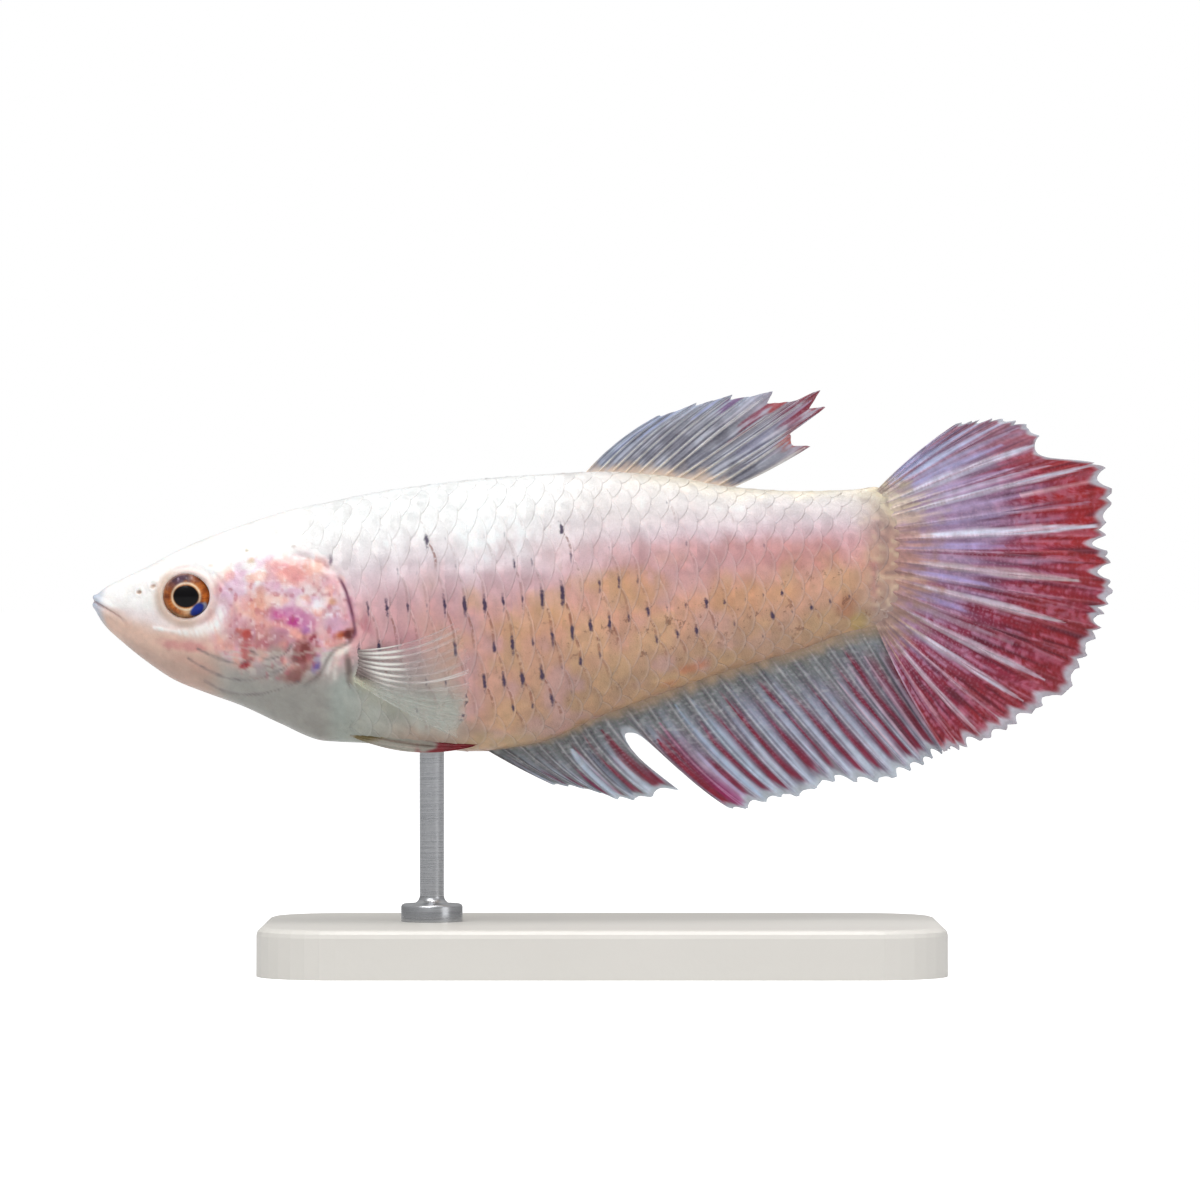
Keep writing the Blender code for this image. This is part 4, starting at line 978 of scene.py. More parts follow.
def build_scales(side, material):
    """A coat of thin closed plates. Each is a small grid on the body, front edge sunk in the skin and hind
    edge lifted over the next, with a round hind outline. Beside the gill slit they dip under the skin."""
    name = "scales_left" if side < 0 else "scales_right"
    hind, turn = scale_lattice()
    flank = np.cos(turn)
    mine = flank < -0.01 if side < 0 else flank > -0.01
    hind, turn = hind[mine], turn[mine]
    count = len(hind)
    rng = np.random.default_rng(21)
    jitter = rng.normal(0, 1, (count, 4))
    along = np.array([0.0, 0.4, 0.68, 0.86, 0.96, 1.0])
    over = np.linspace(-1, 1, 9)
    a, b = (v[None] for v in np.meshgrid(along, over, indexing="ij"))
    curve = SCALE_HIND_CURVE * np.abs(b) ** 2.2 * (1 + 0.08 * jitter[:, 2, None, None])
    tip = (hind + 0.035 * jitter[:, 0])[:, None, None]
    front = tip - SCALE_LENGTH
    back = front + a * (tip - curve - front)
    round_turn = turn[:, None, None] + SCALE_HALF_TURN * b
    back, round_turn = np.broadcast_arrays(back, round_turn)
    ground = on_skin(back, round_turn, with_cover=False)
    low = (0.4 + 0.6 * eased(14.5, 19.5, tip)) * (1 - 0.75 * eased(44.0, 49.0, tip))
    lift = -SCALE_SINK + (SCALE_LIFT + 0.006 * jitter[:, 1, None, None]) * a**1.3 * (1 - 0.42 * b**2)
    lift = lift * low - 0.30 * eased(-0.60, -0.30, depth_inside(ground[..., 0], ground[..., 2], COVER))
    thick = SCALE_THICKNESS * (1 - 0.6 * a**6) * low
    normal = body_normal(back, round_turn)
    upper = ground + lift[..., None] * normal
    lower = ground + (lift - thick)[..., None] * normal
    rows, columns = len(along), len(over)
    each = rows * columns
    points = np.stack([upper, lower], axis=1).reshape(-1, 3)
    sheet = grid_quads(rows, columns)
    edge = rim_quads(rows, columns, each)
    one = np.vstack([sheet, sheet[:, ::-1] + each, edge])
    quads = (one[None] + (np.arange(count) * 2 * each)[:, None, None]).reshape(-1, 4)
    shade = 1 + 0.018 * np.repeat(jitter[:, 3], 2 * each)
    tint = np.clip(body_colour(points) * shade[:, None], 0, 1)
    root = np.stack([hind / STALK_END * 0.96, (turn / (2 * math.pi)) % 1.0], axis=1)
    patch = np.stack([a**3 - 0.5, 0.5 * b + 0 * a], axis=-1) * 0.003
    both_faces = (count, 2, rows, columns, 2)
    spread = root[:, None, None, None, :] + np.broadcast_to(patch[:, None], both_faces)
    blade = np.broadcast_to(np.stack([a, side * b], axis=-1)[:, None], both_faces)
    maps = {"OFBake": spread.reshape(-1, 2), "Blade": blade.reshape(-1, 2)}
    mark = np.zeros(count)
    tips = body_point(hind, turn)
    for x, z, strength in MARKS:
        nearest = np.argmin(np.hypot(tips[:, 0] - x, 1.2 * (tips[:, 2] - z)))
        mark[nearest] = max(mark[nearest], strength)
    trail = np.zeros(count)
    for k in np.flatnonzero(mark):
        toward_belly = SCALE_ROW_TURN * (-1 if side > 0 else 1)
        next_place = body_point(hind[k] + 0.5 * SCALE_EXPOSED, turn[k] + toward_belly)
        nearest = np.argmin(np.linalg.norm(tips - next_place, axis=1))
        trail[nearest] = max(trail[nearest], 0.9 * mark[k])
    share = height_share(points[:, 0], points[:, 2])
    fleck = eased(18.0, 34.0, points[:, 0]) * faded(0.35, 0.62, share) * eased(0.02, 0.15, share)
    values = {"mark": np.repeat(mark, 2 * each), "trail": np.repeat(trail, 2 * each), "fleck": fleck}
    make_piece(name, points, quads, material, tint, (), maps, values)


# Fins


def cubic(values, at):
    """A smooth curve through evenly spaced values, read at the places in `at` along the first axis."""
    values = np.asarray(values, float)
    at = np.asarray(at, float)
    i = np.clip(np.floor(at).astype(int), 0, len(values) - 2)
    t = at - i
    padded = np.concatenate([2 * values[:1] - values[1:2], values, 2 * values[-1:] - values[-2:-1]])
    if values.ndim > 1:
        t = t.reshape(t.shape + (1,) * (values.ndim - 1))
    p0, p1, p2, p3 = (padded[i + k] for k in range(4))
    return 0.5 * (
        2 * p1 + (p2 - p0) * t + (2 * p0 - 5 * p1 + 4 * p2 - p3) * t**2 + (3 * p1 - p0 - 3 * p2 + p3) * t**3
    )


class Fin:
    """The rays of a fin: curves from root to tip, each bowed within the fin and swayed out of its plane."""

    def __init__(self, roots, tips, bow, sway, aside, aside_by):
        self.roots, self.tips = np.array(roots, float), np.array(tips, float)
        chord = self.tips - self.roots
        turned = np.stack([-chord[:, 2], 0 * chord[:, 1], chord[:, 0]], axis=1)
        self.bends = (self.roots + self.tips) / 2 + 2 * np.asarray(bow)[:, None] * turned
        self.sway, self.aside, self.aside_by = np.asarray(sway), np.asarray(aside), aside_by

    def at(self, ray, share):
        """Points at a place between the rays, and a share of the way to the edge."""
        root, bend, tip = (cubic(v, ray) for v in (self.roots, self.bends, self.tips))
        s = share[..., None]
        points = (1 - s) ** 2 * root + 2 * s * (1 - s) * bend + s * s * tip
        aside = cubic(self.aside, ray) * eased(0.0, self.aside_by, share) + cubic(self.sway, ray) * share
        points[..., 1] += aside
        return points


def fin_sheet(name, fin, material, paint, look):
    """A thin closed sheet with the rays raised on both faces and a ragged edge.

    `look` holds its measures. `lines` are the places of the rays over the fin. Columns of points run from
    root to edge and bunch up at the rays. From fork_start on each ray parts into two branches, and the edge
    draws in between the branches by `notch`. A table of reaches or a list of tears cuts deeper. `paint` gives
    each point's colour and how much it covers.
    """
    lines = np.array(look["lines"], float)
    gaps = len(lines) - 1
    steps = np.array(look["steps"])
    branch = look["branch_step"]
    order = np.append((np.arange(gaps)[:, None] + steps[None, :-1]).ravel(), gaps)
    gap = np.minimum(order.astype(int), gaps - 1)
    c = order - gap
    wide = np.diff(lines)[gap]
    rng = np.random.default_rng(look["seed"])
    near = np.minimum(c, 1 - c)
    nearest = np.round(order).astype(int)
    tooth = np.clip((near - branch) / (0.5 - branch), 0, 1)
    valley = look["notch"] * rng.uniform(0.5, 1.4, gaps)[gap] * np.sin(math.pi / 2 * tooth) ** 0.85
    at_ray = np.clip(1 - near / branch, 0, 1) ** 1.4
    centre = look["centre_notch"] * rng.uniform(0.3, 1.5, gaps + 1)[nearest] * at_ray
    spikes = np.sort(np.concatenate([np.arange(gaps + 1) - branch, np.arange(gaps + 1) + branch]))
    spike_reach = look["uneven"] * rng.uniform(-1.0, 0.6, len(spikes))
    column = lines[gap] + c * wide
    reach = 1 - valley - centre + np.interp(order, spikes, spike_reach)
    reach = reach + 0.006 * noise(np.stack([order * 7, 0 * order, 0 * order], axis=-1), 1.0, look["seed"])
    if "edge" in look:
        places, reaches = np.array(look["edge"]).T
        reach = reach * np.interp(column, places, reaches)
    for place, depth, half, power in look.get("tears", ()):
        across = np.clip(np.abs(column - place) / half, 0, 1)
        reach = np.minimum(reach, 1 - depth * (1 - across**power) ** (1 / power) * (across < 1))
    rows = look["rows"]
    share = np.linspace(0.0, 1.0, rows)[None]
    s = share * reach[:, None]
    fork = look["fork"] * eased(look["fork_start"], 1.0, s)
    part = 0.02 + fork
    after = (c <= 0.5)[:, None]
    inner = np.minimum(near / branch, 1.0)[:, None] * part
    outer = part + tooth[:, None] * (0.5 - part)
    q = np.where((near < branch)[:, None], inner, outer)
    ray = lines[gap][:, None] + np.where(after, q, 1 - q) * wide[:, None]
    middle = fin.at(ray, s)
    pitch = np.linalg.norm(fin.at(ray + 0.05, s) - fin.at(ray - 0.05, s), axis=-1) / 0.1
    space = pitch * wide[:, None]
    forked = eased(look["fork_start"], look["fork_start"] + 0.18, s) * (look["fork"] > 0)
    width = look["ray_width"] * (1 - 0.55 * s)
    stem = (1 - forked) * bell(q * space, width)
    twig = forked * bell(np.abs(q - fork) * space, 0.75 * width)
    ridge = np.maximum(stem, 0.8 * twig)
    raised = look["ridge"] * (1 - 0.6 * s) * ridge * eased(0.0, 0.10, s)
    half = look["membrane"] * (1 - 0.5 * s) + raised + look["root"] * bell(s, 0.07)
    to_edge = (1 - share) * reach[:, None] + 0 * s
    half = half * (0.30 + 0.70 * eased(0.0, 0.05, to_edge))
    fold = np.where(after, 1, -1) * np.sin(2 * math.pi * q)
    middle[..., 1] += look["pleat"] * fold * eased(0.0, 0.4, s)
    offset = half[..., None] * (0.0, 1.0, 0.0)
    columns = len(column)
    points = np.vstack([(middle - offset).reshape(-1, 3), (middle + offset).reshape(-1, 3)])
    each = columns * rows
    sheet = grid_quads(columns, rows)
    edge = rim_quads(columns, rows, each)
    quads = np.vstack([sheet, sheet[:, ::-1] + each, edge])
    run = s * cubic(np.linalg.norm(fin.tips - fin.roots, axis=1), ray)
    facts = {
        "place": middle, "ray": ray, "s": s, "q": q, "c": c[:, None] + 0 * s, "run": run, "pitch": pitch,
        "stem": stem, "twig": twig, "to_edge": to_edge, "dots": 0 * s,
    }
    rgba = paint(facts).reshape(-1, 4)
    tint = np.vstack([rgba, rgba])
    rays_map = np.stack([ray, run], axis=-1).reshape(-1, 2)
    u = 0.005 + 0.485 * (column / lines[-1])[:, None] + 0 * s
    unwrap = np.stack([u, 0.005 + 0.99 * share + 0 * s], axis=-1).reshape(-1, 2)
    maps = {"OFBake": np.vstack([unwrap, unwrap + (0.5, 0.0)]), "Rays": np.vstack([rays_map, rays_map])}
    values = {"ray": np.tile(ridge.ravel(), 2), "dots": np.tile(facts["dots"].ravel(), 2)}
    piece = make_piece(f"{name}_film", points, quads, material, tint, (), maps, values)
    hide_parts(name)


def both_halves(steps):
    """Places of the columns from one ray to the next, from those of the first half."""
    return (*steps, *(1 - step for step in steps[-2::-1]))


def ray_tips(table, order, out=0.0):
    """Tips of rays through a table of some of them: number of the ray, back, up."""
    return np.stack([through(table, 1, order), out + 0 * order, through(table, 2, order)], axis=1)


def fibres(f, across, along, seed):
    """Noise drawn out along the rays: across is its count of streaks for each ray, along for each mm."""
    return noise(np.stack([f["ray"] * across, f["run"] * along, 0 * f["s"]], axis=-1), 1.0, seed)


def fin_film_group():
    """The fine make of a fin: joints and threads along the rays, and loose rows of tiny dots between them.
    Puts out a height, a shade and a mask of the dots."""
    inputs, outputs = ("Spacing", "Depth", "Across"), ("Height", "Shade", "Dots")
    group, start, end = new_group("fin_film", inputs, outputs)
    maths = partial(math_node, group)
    link = group.links.new
    place = node(group, "ShaderNodeUVMap", uv_map="Rays")
    parts = group.nodes.new("ShaderNodeSeparateXYZ")
    link(place.outputs["UV"], parts.inputs[0])
    ragged = node(group, "ShaderNodeTexNoise", Scale=1500.0, Detail=3.0)
    fibre = node(group, "ShaderNodeTexNoise", Scale=5200.0, Detail=2.0)
    on_object(group, ragged, fibre)
    run = maths("MULTIPLY_ADD", ragged.outputs["Fac"], 0.55, parts.outputs[1])
    turn = maths("MULTIPLY", run, 2 * math.pi)
    turn = maths("DIVIDE", turn, start.outputs["Spacing"])
    soft = maths("MULTIPLY_ADD", attribute(group, "ray"), 0.5, 0.03)
    joints = maths("MULTIPLY", maths("SINE", turn), soft)
    link(maths("MULTIPLY_ADD", fibre.outputs["Fac"], 0.8, joints), end.inputs["Height"])
    grain = maths("SUBTRACT", fibre.outputs["Fac"], 0.5)
    stretch = node(group, "ShaderNodeMapping", Scale=(9.0, 1.6, 1.0))
    link(place.outputs["UV"], stretch.inputs["Vector"])
    thread = node(group, "ShaderNodeTexNoise", Scale=1.0, Detail=3.0, Roughness=0.7)
    link(stretch.outputs[0], thread.inputs["Vector"])
    threads = maths("MULTIPLY_ADD", thread.outputs["Fac"], 5.0, -2.5)
    both = maths("ADD", maths("MULTIPLY_ADD", grain, 2.6, joints), threads)
    link(maths("MULTIPLY_ADD", both, start.outputs["Depth"], 1.0), end.inputs["Shade"])
    turn_across = maths("MULTIPLY", parts.outputs[0], start.outputs["Across"])
    turn_across = maths("MULTIPLY", turn_across, 2 * math.pi)
    turn_across = maths("MULTIPLY_ADD", ragged.outputs["Fac"], 12.0, turn_across)
    waves = [maths("COSINE", angle) for angle in (turn, turn_across)]
    uneven = maths("MULTIPLY_ADD", fibre.outputs["Fac"], 7.0, -3.5)
    high = maths("ADD", maths("ADD", *waves), uneven)
    spot = ramp(group, high, -0.2, 2.6, 0.0, 1.0)
    link(maths("MULTIPLY", spot, attribute(group, "dots")), end.inputs["Dots"])
    return group


def fin_material(name, film, spacing, depth, across, dot_colour):
    """A moist film. Joints lie `spacing` mm apart, and there are `across` rows of dots for each ray."""
    made, tree, shader = new_material(name, 0.42, coat=0.10, more=FILM_LIGHT)
    tint = node(tree, "ShaderNodeAttribute", attribute_name="tint")
    group = node(tree, "ShaderNodeGroup", node_tree=film)
    set_inputs(group, {"Spacing": spacing, "Depth": depth, "Across": across})
    colour = shaded(tree, tint.outputs["Color"], group.outputs["Shade"])
    colour = tint_mix(tree, group.outputs["Dots"], colour, flat(dot_colour))
    tree.links.new(colour, shader.inputs["Base Color"])
    tree.links.new(tint.outputs["Alpha"], shader.inputs["Alpha"])
    add_bump(tree, shader, group.outputs["Height"], FILM_BUMP)
    return made


def with_alpha(colour, alpha):
    """Colours with how much each covers as a fourth value."""
    alpha = np.clip(alpha + 0 * colour[..., 0], 0, 1)
    return np.concatenate([np.clip(colour, 0, 1), alpha[..., None]], axis=-1)


CRIMSON = (128, 38, 62)
ICE = (214, 220, 238)
PALE_BLUE = (168, 180, 204)
SMOKE = (142, 144, 156)
TIP_GREY = (188, 198, 208)

DORSAL_INSIDE = 0.35  # how deep in the back the roots lie
DORSAL_BASE = (30.2, 39.1)  # back to the first and the last ray's root
# Tips of some of the rays: number of the ray, back, up. So for each fin.
DORSAL_TIPS = (
    (0, 34.8, 11.36), (2, 37.2, 12.16), (4, 39.5, 12.72), (6, 41.95, 12.90), (7, 43.4, 12.5),
    (8, 44.9, 12.95), (9, 45.2, 11.90), (10, 43.6, 10.55), (11, 44.3, 9.50),
)
# The fin's ragged edge: ray, and share of the ray's length that the edge reaches.
DORSAL_EDGE = (
    (0.0, 1.0), (0.22, 0.985), (0.6, 0.93), (1.4, 0.95), (2.0, 1.0), (2.35, 0.935), (3.2, 0.95), (4.0, 1.0),
    (4.3, 0.92), (5.2, 0.945), (6.0, 1.0), (6.35, 0.89), (6.8, 0.94), (7.4, 0.97), (8.0, 1.0), (8.5, 0.88),
    (9.0, 1.0), (9.45, 0.80), (10.0, 0.90), (10.55, 0.885), (10.85, 0.96), (11.0, 1.0),
)
DORSAL_BLOTCHES = (
    (42.2, 12.1, 1.1, 0.30, 38, (184, 60, 64), 0.75),
    (40.9, 11.3, 1.4, 0.25, 42, (136, 48, 70), 0.65),
    (44.6, 12.2, 1.4, 0.60, 36, (138, 28, 44), 0.85),
    (43.4, 11.3, 1.2, 0.60, 32, (132, 50, 76), 0.65),
    (43.2, 10.0, 1.0, 0.38, 24, (190, 74, 66), 0.75),
    (44.1, 9.6, 0.8, 0.25, 22, (136, 58, 66), 0.7),
    (39.3, 12.1, 0.9, 0.22, 40, (112, 70, 126), 0.6),
    (41.0, 9.6, 1.6, 0.5, 30, (150, 150, 182), 0.5),
)
# Pale and dark streaks along the rays: ray, start, end, half width, tint, strength. So for each fin.
DORSAL_STREAKS = (
    (0.10, 0.02, 0.98, 0.34, (204, 218, 238), 0.92),
    (0.75, 0.20, 0.95, 0.22, (176, 190, 226), 0.70),
    (1.45, 0.45, 0.98, 0.16, (150, 166, 214), 0.60),
    (2.10, 0.10, 0.98, 0.17, (214, 220, 236), 0.85),
    (3.10, 0.20, 0.94, 0.15, (206, 212, 228), 0.75),
    (3.55, 0.66, 0.98, 0.20, (170, 180, 224), 0.75),
    (4.10, 0.12, 1.00, 0.17, (226, 228, 236), 0.85),
    (5.05, 0.15, 0.90, 0.13, (208, 208, 218), 0.75),
    (6.00, 0.15, 0.92, 0.17, (222, 220, 226), 0.85),
    (7.10, 0.10, 0.90, 0.14, (216, 210, 212), 0.75),
    (8.20, 0.30, 0.92, 0.18, (196, 196, 222), 0.70),
    (9.30, 0.10, 0.90, 0.12, (206, 200, 206), 0.65),
    (10.0, 0.10, 0.90, 0.12, (210, 204, 206), 0.65),
    (10.9, 0.0, 0.95, 0.18, (220, 214, 210), 0.80),
)


def paint_dorsal(f):
    """Smoky blue-grey membranes, paired cream rays, an ice-blue front edge and crimson tips."""
    place, s = f["place"], f["s"]
    dapple = noise(place, 0.5, 31)
    hair = fibres(f, 9.0, 0.5, 32)
    wash = Wash(SMOKE, place)
    wash.lay((196, 200, 214), 0.75 * eased(-0.25, 0.45, hair))
    wash.lay((104, 104, 118), 0.6 * eased(-0.1, 0.6, noise(place, 0.9, 33)) * faded(0.5, 0.9, s))
    wash.lay(PALE_BLUE, faded(0.8, 2.6, f["ray"]) * 0.6)
    wash.lay(PALE_BLUE, 0.5 * eased(0.62, 0.95, s) * faded(6.0, 8.0, f["ray"]))
    wash.lay((176, 152, 168), 0.45 * eased(0.55, 0.9, s + 0.2 * hair) * eased(5.0, 6.5, f["ray"]))
    wash.lay_blotches(DORSAL_BLOTCHES, 0.5 * dapple + 0.9 * hair)
    wash.lay_streaks(f, DORSAL_STREAKS)
    rays = tone((222, 214, 196)) * (1 - s[..., None]) + tone((206, 208, 218)) * s[..., None]
    fade = 1 - 0.6 * eased(0.6, 1.0, s)
    wash.lay(rays, 0.9 * f["stem"] * fade)
    wash.lay(rays, 0.6 * f["twig"] * fade)
    # Painted shade in the folds beside the rays.
    groove = bell(f["q"] * f["pitch"] - 0.22, 0.09) * faded(0.5, 0.9, s) * eased(0.03, 0.15, s)
    wash.lay((74, 74, 90), 0.5 * groove)
    wash.lay((236, 208, 184), 0.8 * faded(0.03, 0.20, s + 0.05 * dapple + 0.05 * hair))
    wash.shade(1 + 0.07 * dapple)
    f["dots"][:] = 0.10
    return with_alpha(wash.colour, 0.92 + 0.08 * f["stem"] - 0.10 * faded(0.0, 0.05, f["to_edge"]))


def build_dorsal_fin(material):
    count = DORSAL_TIPS[-1][0] + 1
    order = np.arange(count)
    roots_x = np.linspace(*DORSAL_BASE, count)
    roots_z = body_section(roots_x)[0] - DORSAL_INSIDE
    roots = np.stack([roots_x, 0 * order, roots_z], axis=1)
    bow = 0.05 - 0.07 * order / (count - 1)
    fin = Fin(roots, ray_tips(DORSAL_TIPS, order), bow, 0.10 * np.sin(1.7 * order), 0 * order, 0.5)
    look = {
        "lines": order, "steps": tuple(np.linspace(0, 1, 25)), "branch_step": 0.10, "rows": 120, "seed": 5,
        "notch": 0.012, "centre_notch": 0.0, "uneven": 0.006, "edge": DORSAL_EDGE,
        "fork": 0.10, "fork_start": 0.15, "ray_width": 0.10, "membrane": 0.055, "ridge": 0.11, "root": 0.16,
        "pleat": 0.05,
    }
    fin_sheet("dorsal_fin", fin, material, paint_dorsal, look)


ANAL_INSIDE = 0.40
ANAL_BASE = (23.9, 48.3)
ANAL_TIPS = (
    (0, 28.35, -11.40), (2.5, 30.7, -11.75), (4.5, 32.9, -12.40), (6, 34.5, -12.15), (7, 36.1, -11.75),
    (8, 39.3, -12.85), (9.2, 40.6, -12.90), (10.3, 41.8, -12.35), (12.3, 43.85, -12.05),
    (13.9, 45.65, -11.25), (15.7, 48.0, -11.30), (18, 50.5, -10.55), (20, 51.9, -9.85), (22, 53.0, -9.25),
)
ANAL_ASIDE = 0.62  # how far the rear lies to the right, where the caudal fin laps over it
ANAL_STREAKS = (
    (1.30, 0.55, 0.98, 0.14, (122, 50, 72), 0.60),
    (2.50, 0.60, 0.98, 0.16, (118, 42, 70), 0.65),
    (3.00, 0.30, 0.98, 0.18, (168, 184, 196), 0.65),
    (3.75, 0.58, 0.96, 0.22, (118, 36, 72), 0.80),
    (4.45, 0.22, 1.00, 0.44, (190, 206, 224), 0.90),
    (5.30, 0.30, 0.95, 0.26, (92, 100, 116), 0.65),
    (5.80, 0.50, 0.96, 0.12, (130, 44, 66), 0.70),
    (6.05, 0.35, 1.00, 0.16, (176, 186, 196), 0.60),
    (6.60, 0.16, 0.98, 0.34, (132, 34, 52), 0.90),
    (8.30, 0.30, 0.99, 0.34, (136, 26, 48), 0.90),
    (9.00, 0.20, 0.97, 0.24, (152, 30, 84), 0.75),
    (9.55, 0.45, 0.99, 0.16, (200, 190, 226), 0.75),
    (10.2, 0.12, 1.00, 0.26, (170, 190, 214), 0.80),
    (11.1, 0.12, 0.99, 0.34, (178, 200, 220), 0.80),
    (13.1, 0.14, 0.99, 0.24, (186, 200, 222), 0.70),
    (15.2, 0.18, 0.99, 0.24, (190, 198, 218), 0.70),
    (17.1, 0.15, 0.99, 0.16, (198, 196, 214), 0.75),
    (18.2, 0.25, 0.99, 0.10, (220, 190, 206), 0.70),
    (19.3, 0.20, 0.99, 0.10, (214, 188, 204), 0.65),
    (20.4, 0.20, 0.99, 0.09, (220, 192, 208), 0.65),
    (21.3, 0.20, 0.99, 0.08, (214, 184, 204), 0.60),
)


def paint_anal(f):
    """Grey-green near the body, with painted shade in the grooves beside the rays. Broad pale-blue bands run
    on along the rays, and between them crimson stripes widen towards a pale edge."""
    place, s, c, ray = f["place"], f["s"], f["c"], f["ray"]
    across = np.where(c < 0.5, f["q"], 1 - f["q"])
    dapple = noise(place, 0.45, 41)
    broad = noise(place, 2.2, 42)
    hair = fibres(f, 7.0, 0.45, 43)
    fine = fibres(f, 14.0, 0.6, 45)
    gap = fibres(f, 1.0, 0.0, 44)
    grain = noise(place, 0.2, 46)
    wash = Wash((112, 118, 118), place)
    wash.lay((118, 104, 126), 0.9 * eased(0.15, 0.5, s + 0.1 * gap) * eased(7.0, 9.0, ray))
    wash.lay((146, 152, 156), 0.60 * eased(-0.1, 0.7, hair))
    lean = across + 0.12 * hair + 0.10 * gap
    band = bell(lean - 0.32, 0.30)
    blue = 0.85 * band * eased(0.05, 0.45, s + 0.1 * broad) * (0.5 + 0.5 * eased(3.0, 8.5, ray))
    wash.lay((160, 172, 194), blue)
    wash.lay((206, 216, 232), 0.75 * bell(lean - 0.26, 0.12) * eased(0.25, 0.70, s + 0.1 * fine))
    half = 0.06 + 0.12 * eased(0.35, 0.85, s)
    stripe = bell(lean - 0.74, half) * eased(0.26, 0.52, s + 0.26 * gap + 0.08 * hair)
    stripe = stripe * faded(0.83, 0.94, s + 0.05 * hair) * eased(2.5, 4.5, ray)
    rear = bell(lean - 0.64, 0.30) * eased(0.12, 0.4, s) * faded(0.84, 0.97, s) * eased(17.5, 20.0, ray)
    torn = bell(ray - 8.55, 0.80) * eased(0.22, 0.45, s + 0.08 * hair) * faded(0.96, 1.0, s)
    wash.lay((124, 30, 54), np.clip(0.98 * stripe + 0.75 * rear + 0.60 * torn, 0, 0.93))
    magenta = 0.60 * bell(ray - 9.0, 0.5) * eased(0.55, 0.85, s) * faded(0.95, 1.0, s)
    wash.lay((150, 30, 100), magenta)
    wash.lay((168, 126, 156), 0.30 * eased(0.2, 0.7, fine) * eased(0.2, 0.5, s))
    wash.lay_streaks(f, ANAL_STREAKS)
    # Painted shade: thin dark lines in the grooves next to the rays and beside the crimson stripes.
    edges = np.minimum(across, 1 - across)
    groove = bell(edges - 0.12, 0.075) * eased(0.02, 0.12, s) * faded(0.55, 0.98, s)
    beside = bell(lean - 0.58, 0.05) * eased(0.05, 0.2, s) * faded(0.7, 0.95, s)
    wash.lay((62, 58, 70), np.clip(0.55 * groove + 0.55 * beside, 0, 0.7) * (0.75 + 0.25 * gap))
    wash.lay((188, 190, 194), 0.50 * f["stem"] * eased(0.02, 0.10, s))
    wash.lay(ICE, 0.45 * f["twig"])
    sparkle = eased(0.15, 0.6, grain) * eased(0.04, 0.12, s) * faded(0.35, 0.6, s)
    wash.lay((196, 200, 200), 0.35 * sparkle)
    wash.lay(TIP_GREY, 0.9 * faded(0.02, 0.085, f["to_edge"] + 0.02 * hair))
    bumps = 0.025 + 0.008 * np.sin(2 * math.pi * (ray - 0.25)) + 0.015 * dapple
    wash.lay((176, 148, 120), 0.85 * faded(bumps, bumps + 0.11, s))
    wash.shade(1 + 0.07 * dapple)
    f["dots"][:] = 0.13 * faded(0.5, 0.9, s)
    return with_alpha(wash.colour, 0.97 - 0.25 * faded(0.0, 0.06, f["to_edge"]))


def build_anal_fin(material):
    count = ANAL_TIPS[-1][0] + 1
    order = np.arange(count)
    roots_x = np.linspace(*ANAL_BASE, count) - 0.5 * bell(order - 6.2, 1.3)
    roots_z = body_section(roots_x)[1] + ANAL_INSIDE
    roots = np.stack([roots_x, 0 * order, roots_z], axis=1)
    behind = ANAL_ASIDE * eased(15.0, 20.5, order)
    sway = 0.10 * np.sin(1.3 * order) * faded(15.0, 20.0, order)
    bow = -0.015 - 0.040 * eased(0.0, 3.0, order) * faded(9.0, 14.0, order)
    fin = Fin(roots, ray_tips(ANAL_TIPS, order), bow, sway, behind, 0.5)
    half = (0, 0.04, 0.08, 0.13, 0.19, 0.26, 0.34, 0.42, 0.5)
    look = {
        "lines": order, "steps": both_halves(half), "branch_step": 0.08, "rows": 130, "seed": 8,
        "notch": 0.045, "centre_notch": 0.0, "uneven": 0.014, "fork": 0.07, "fork_start": 0.60,
        "ray_width": 0.12, "membrane": 0.06, "ridge": 0.12, "root": 0.20, "pleat": 0.07,
        "tears": ((7.5, 0.76, 0.44, 3.2),),
    }
    fin_sheet("anal_fin", fin, material, paint_anal, look)


CAUDAL_CENTRE = (49.6, 2.47)
CAUDAL_RAYS = 15
CAUDAL_ROOTS = (82.0, -81.0)  # on the half ellipse of the stalk, in degrees
CAUDAL_ROOT_INSIDE = (1.5, 0.35)  # how far the roots lie inside it: along, up
CAUDAL_DIRECTIONS = (66.0, -76.0)  # from the centre to the first and the last ray's tip, in degrees
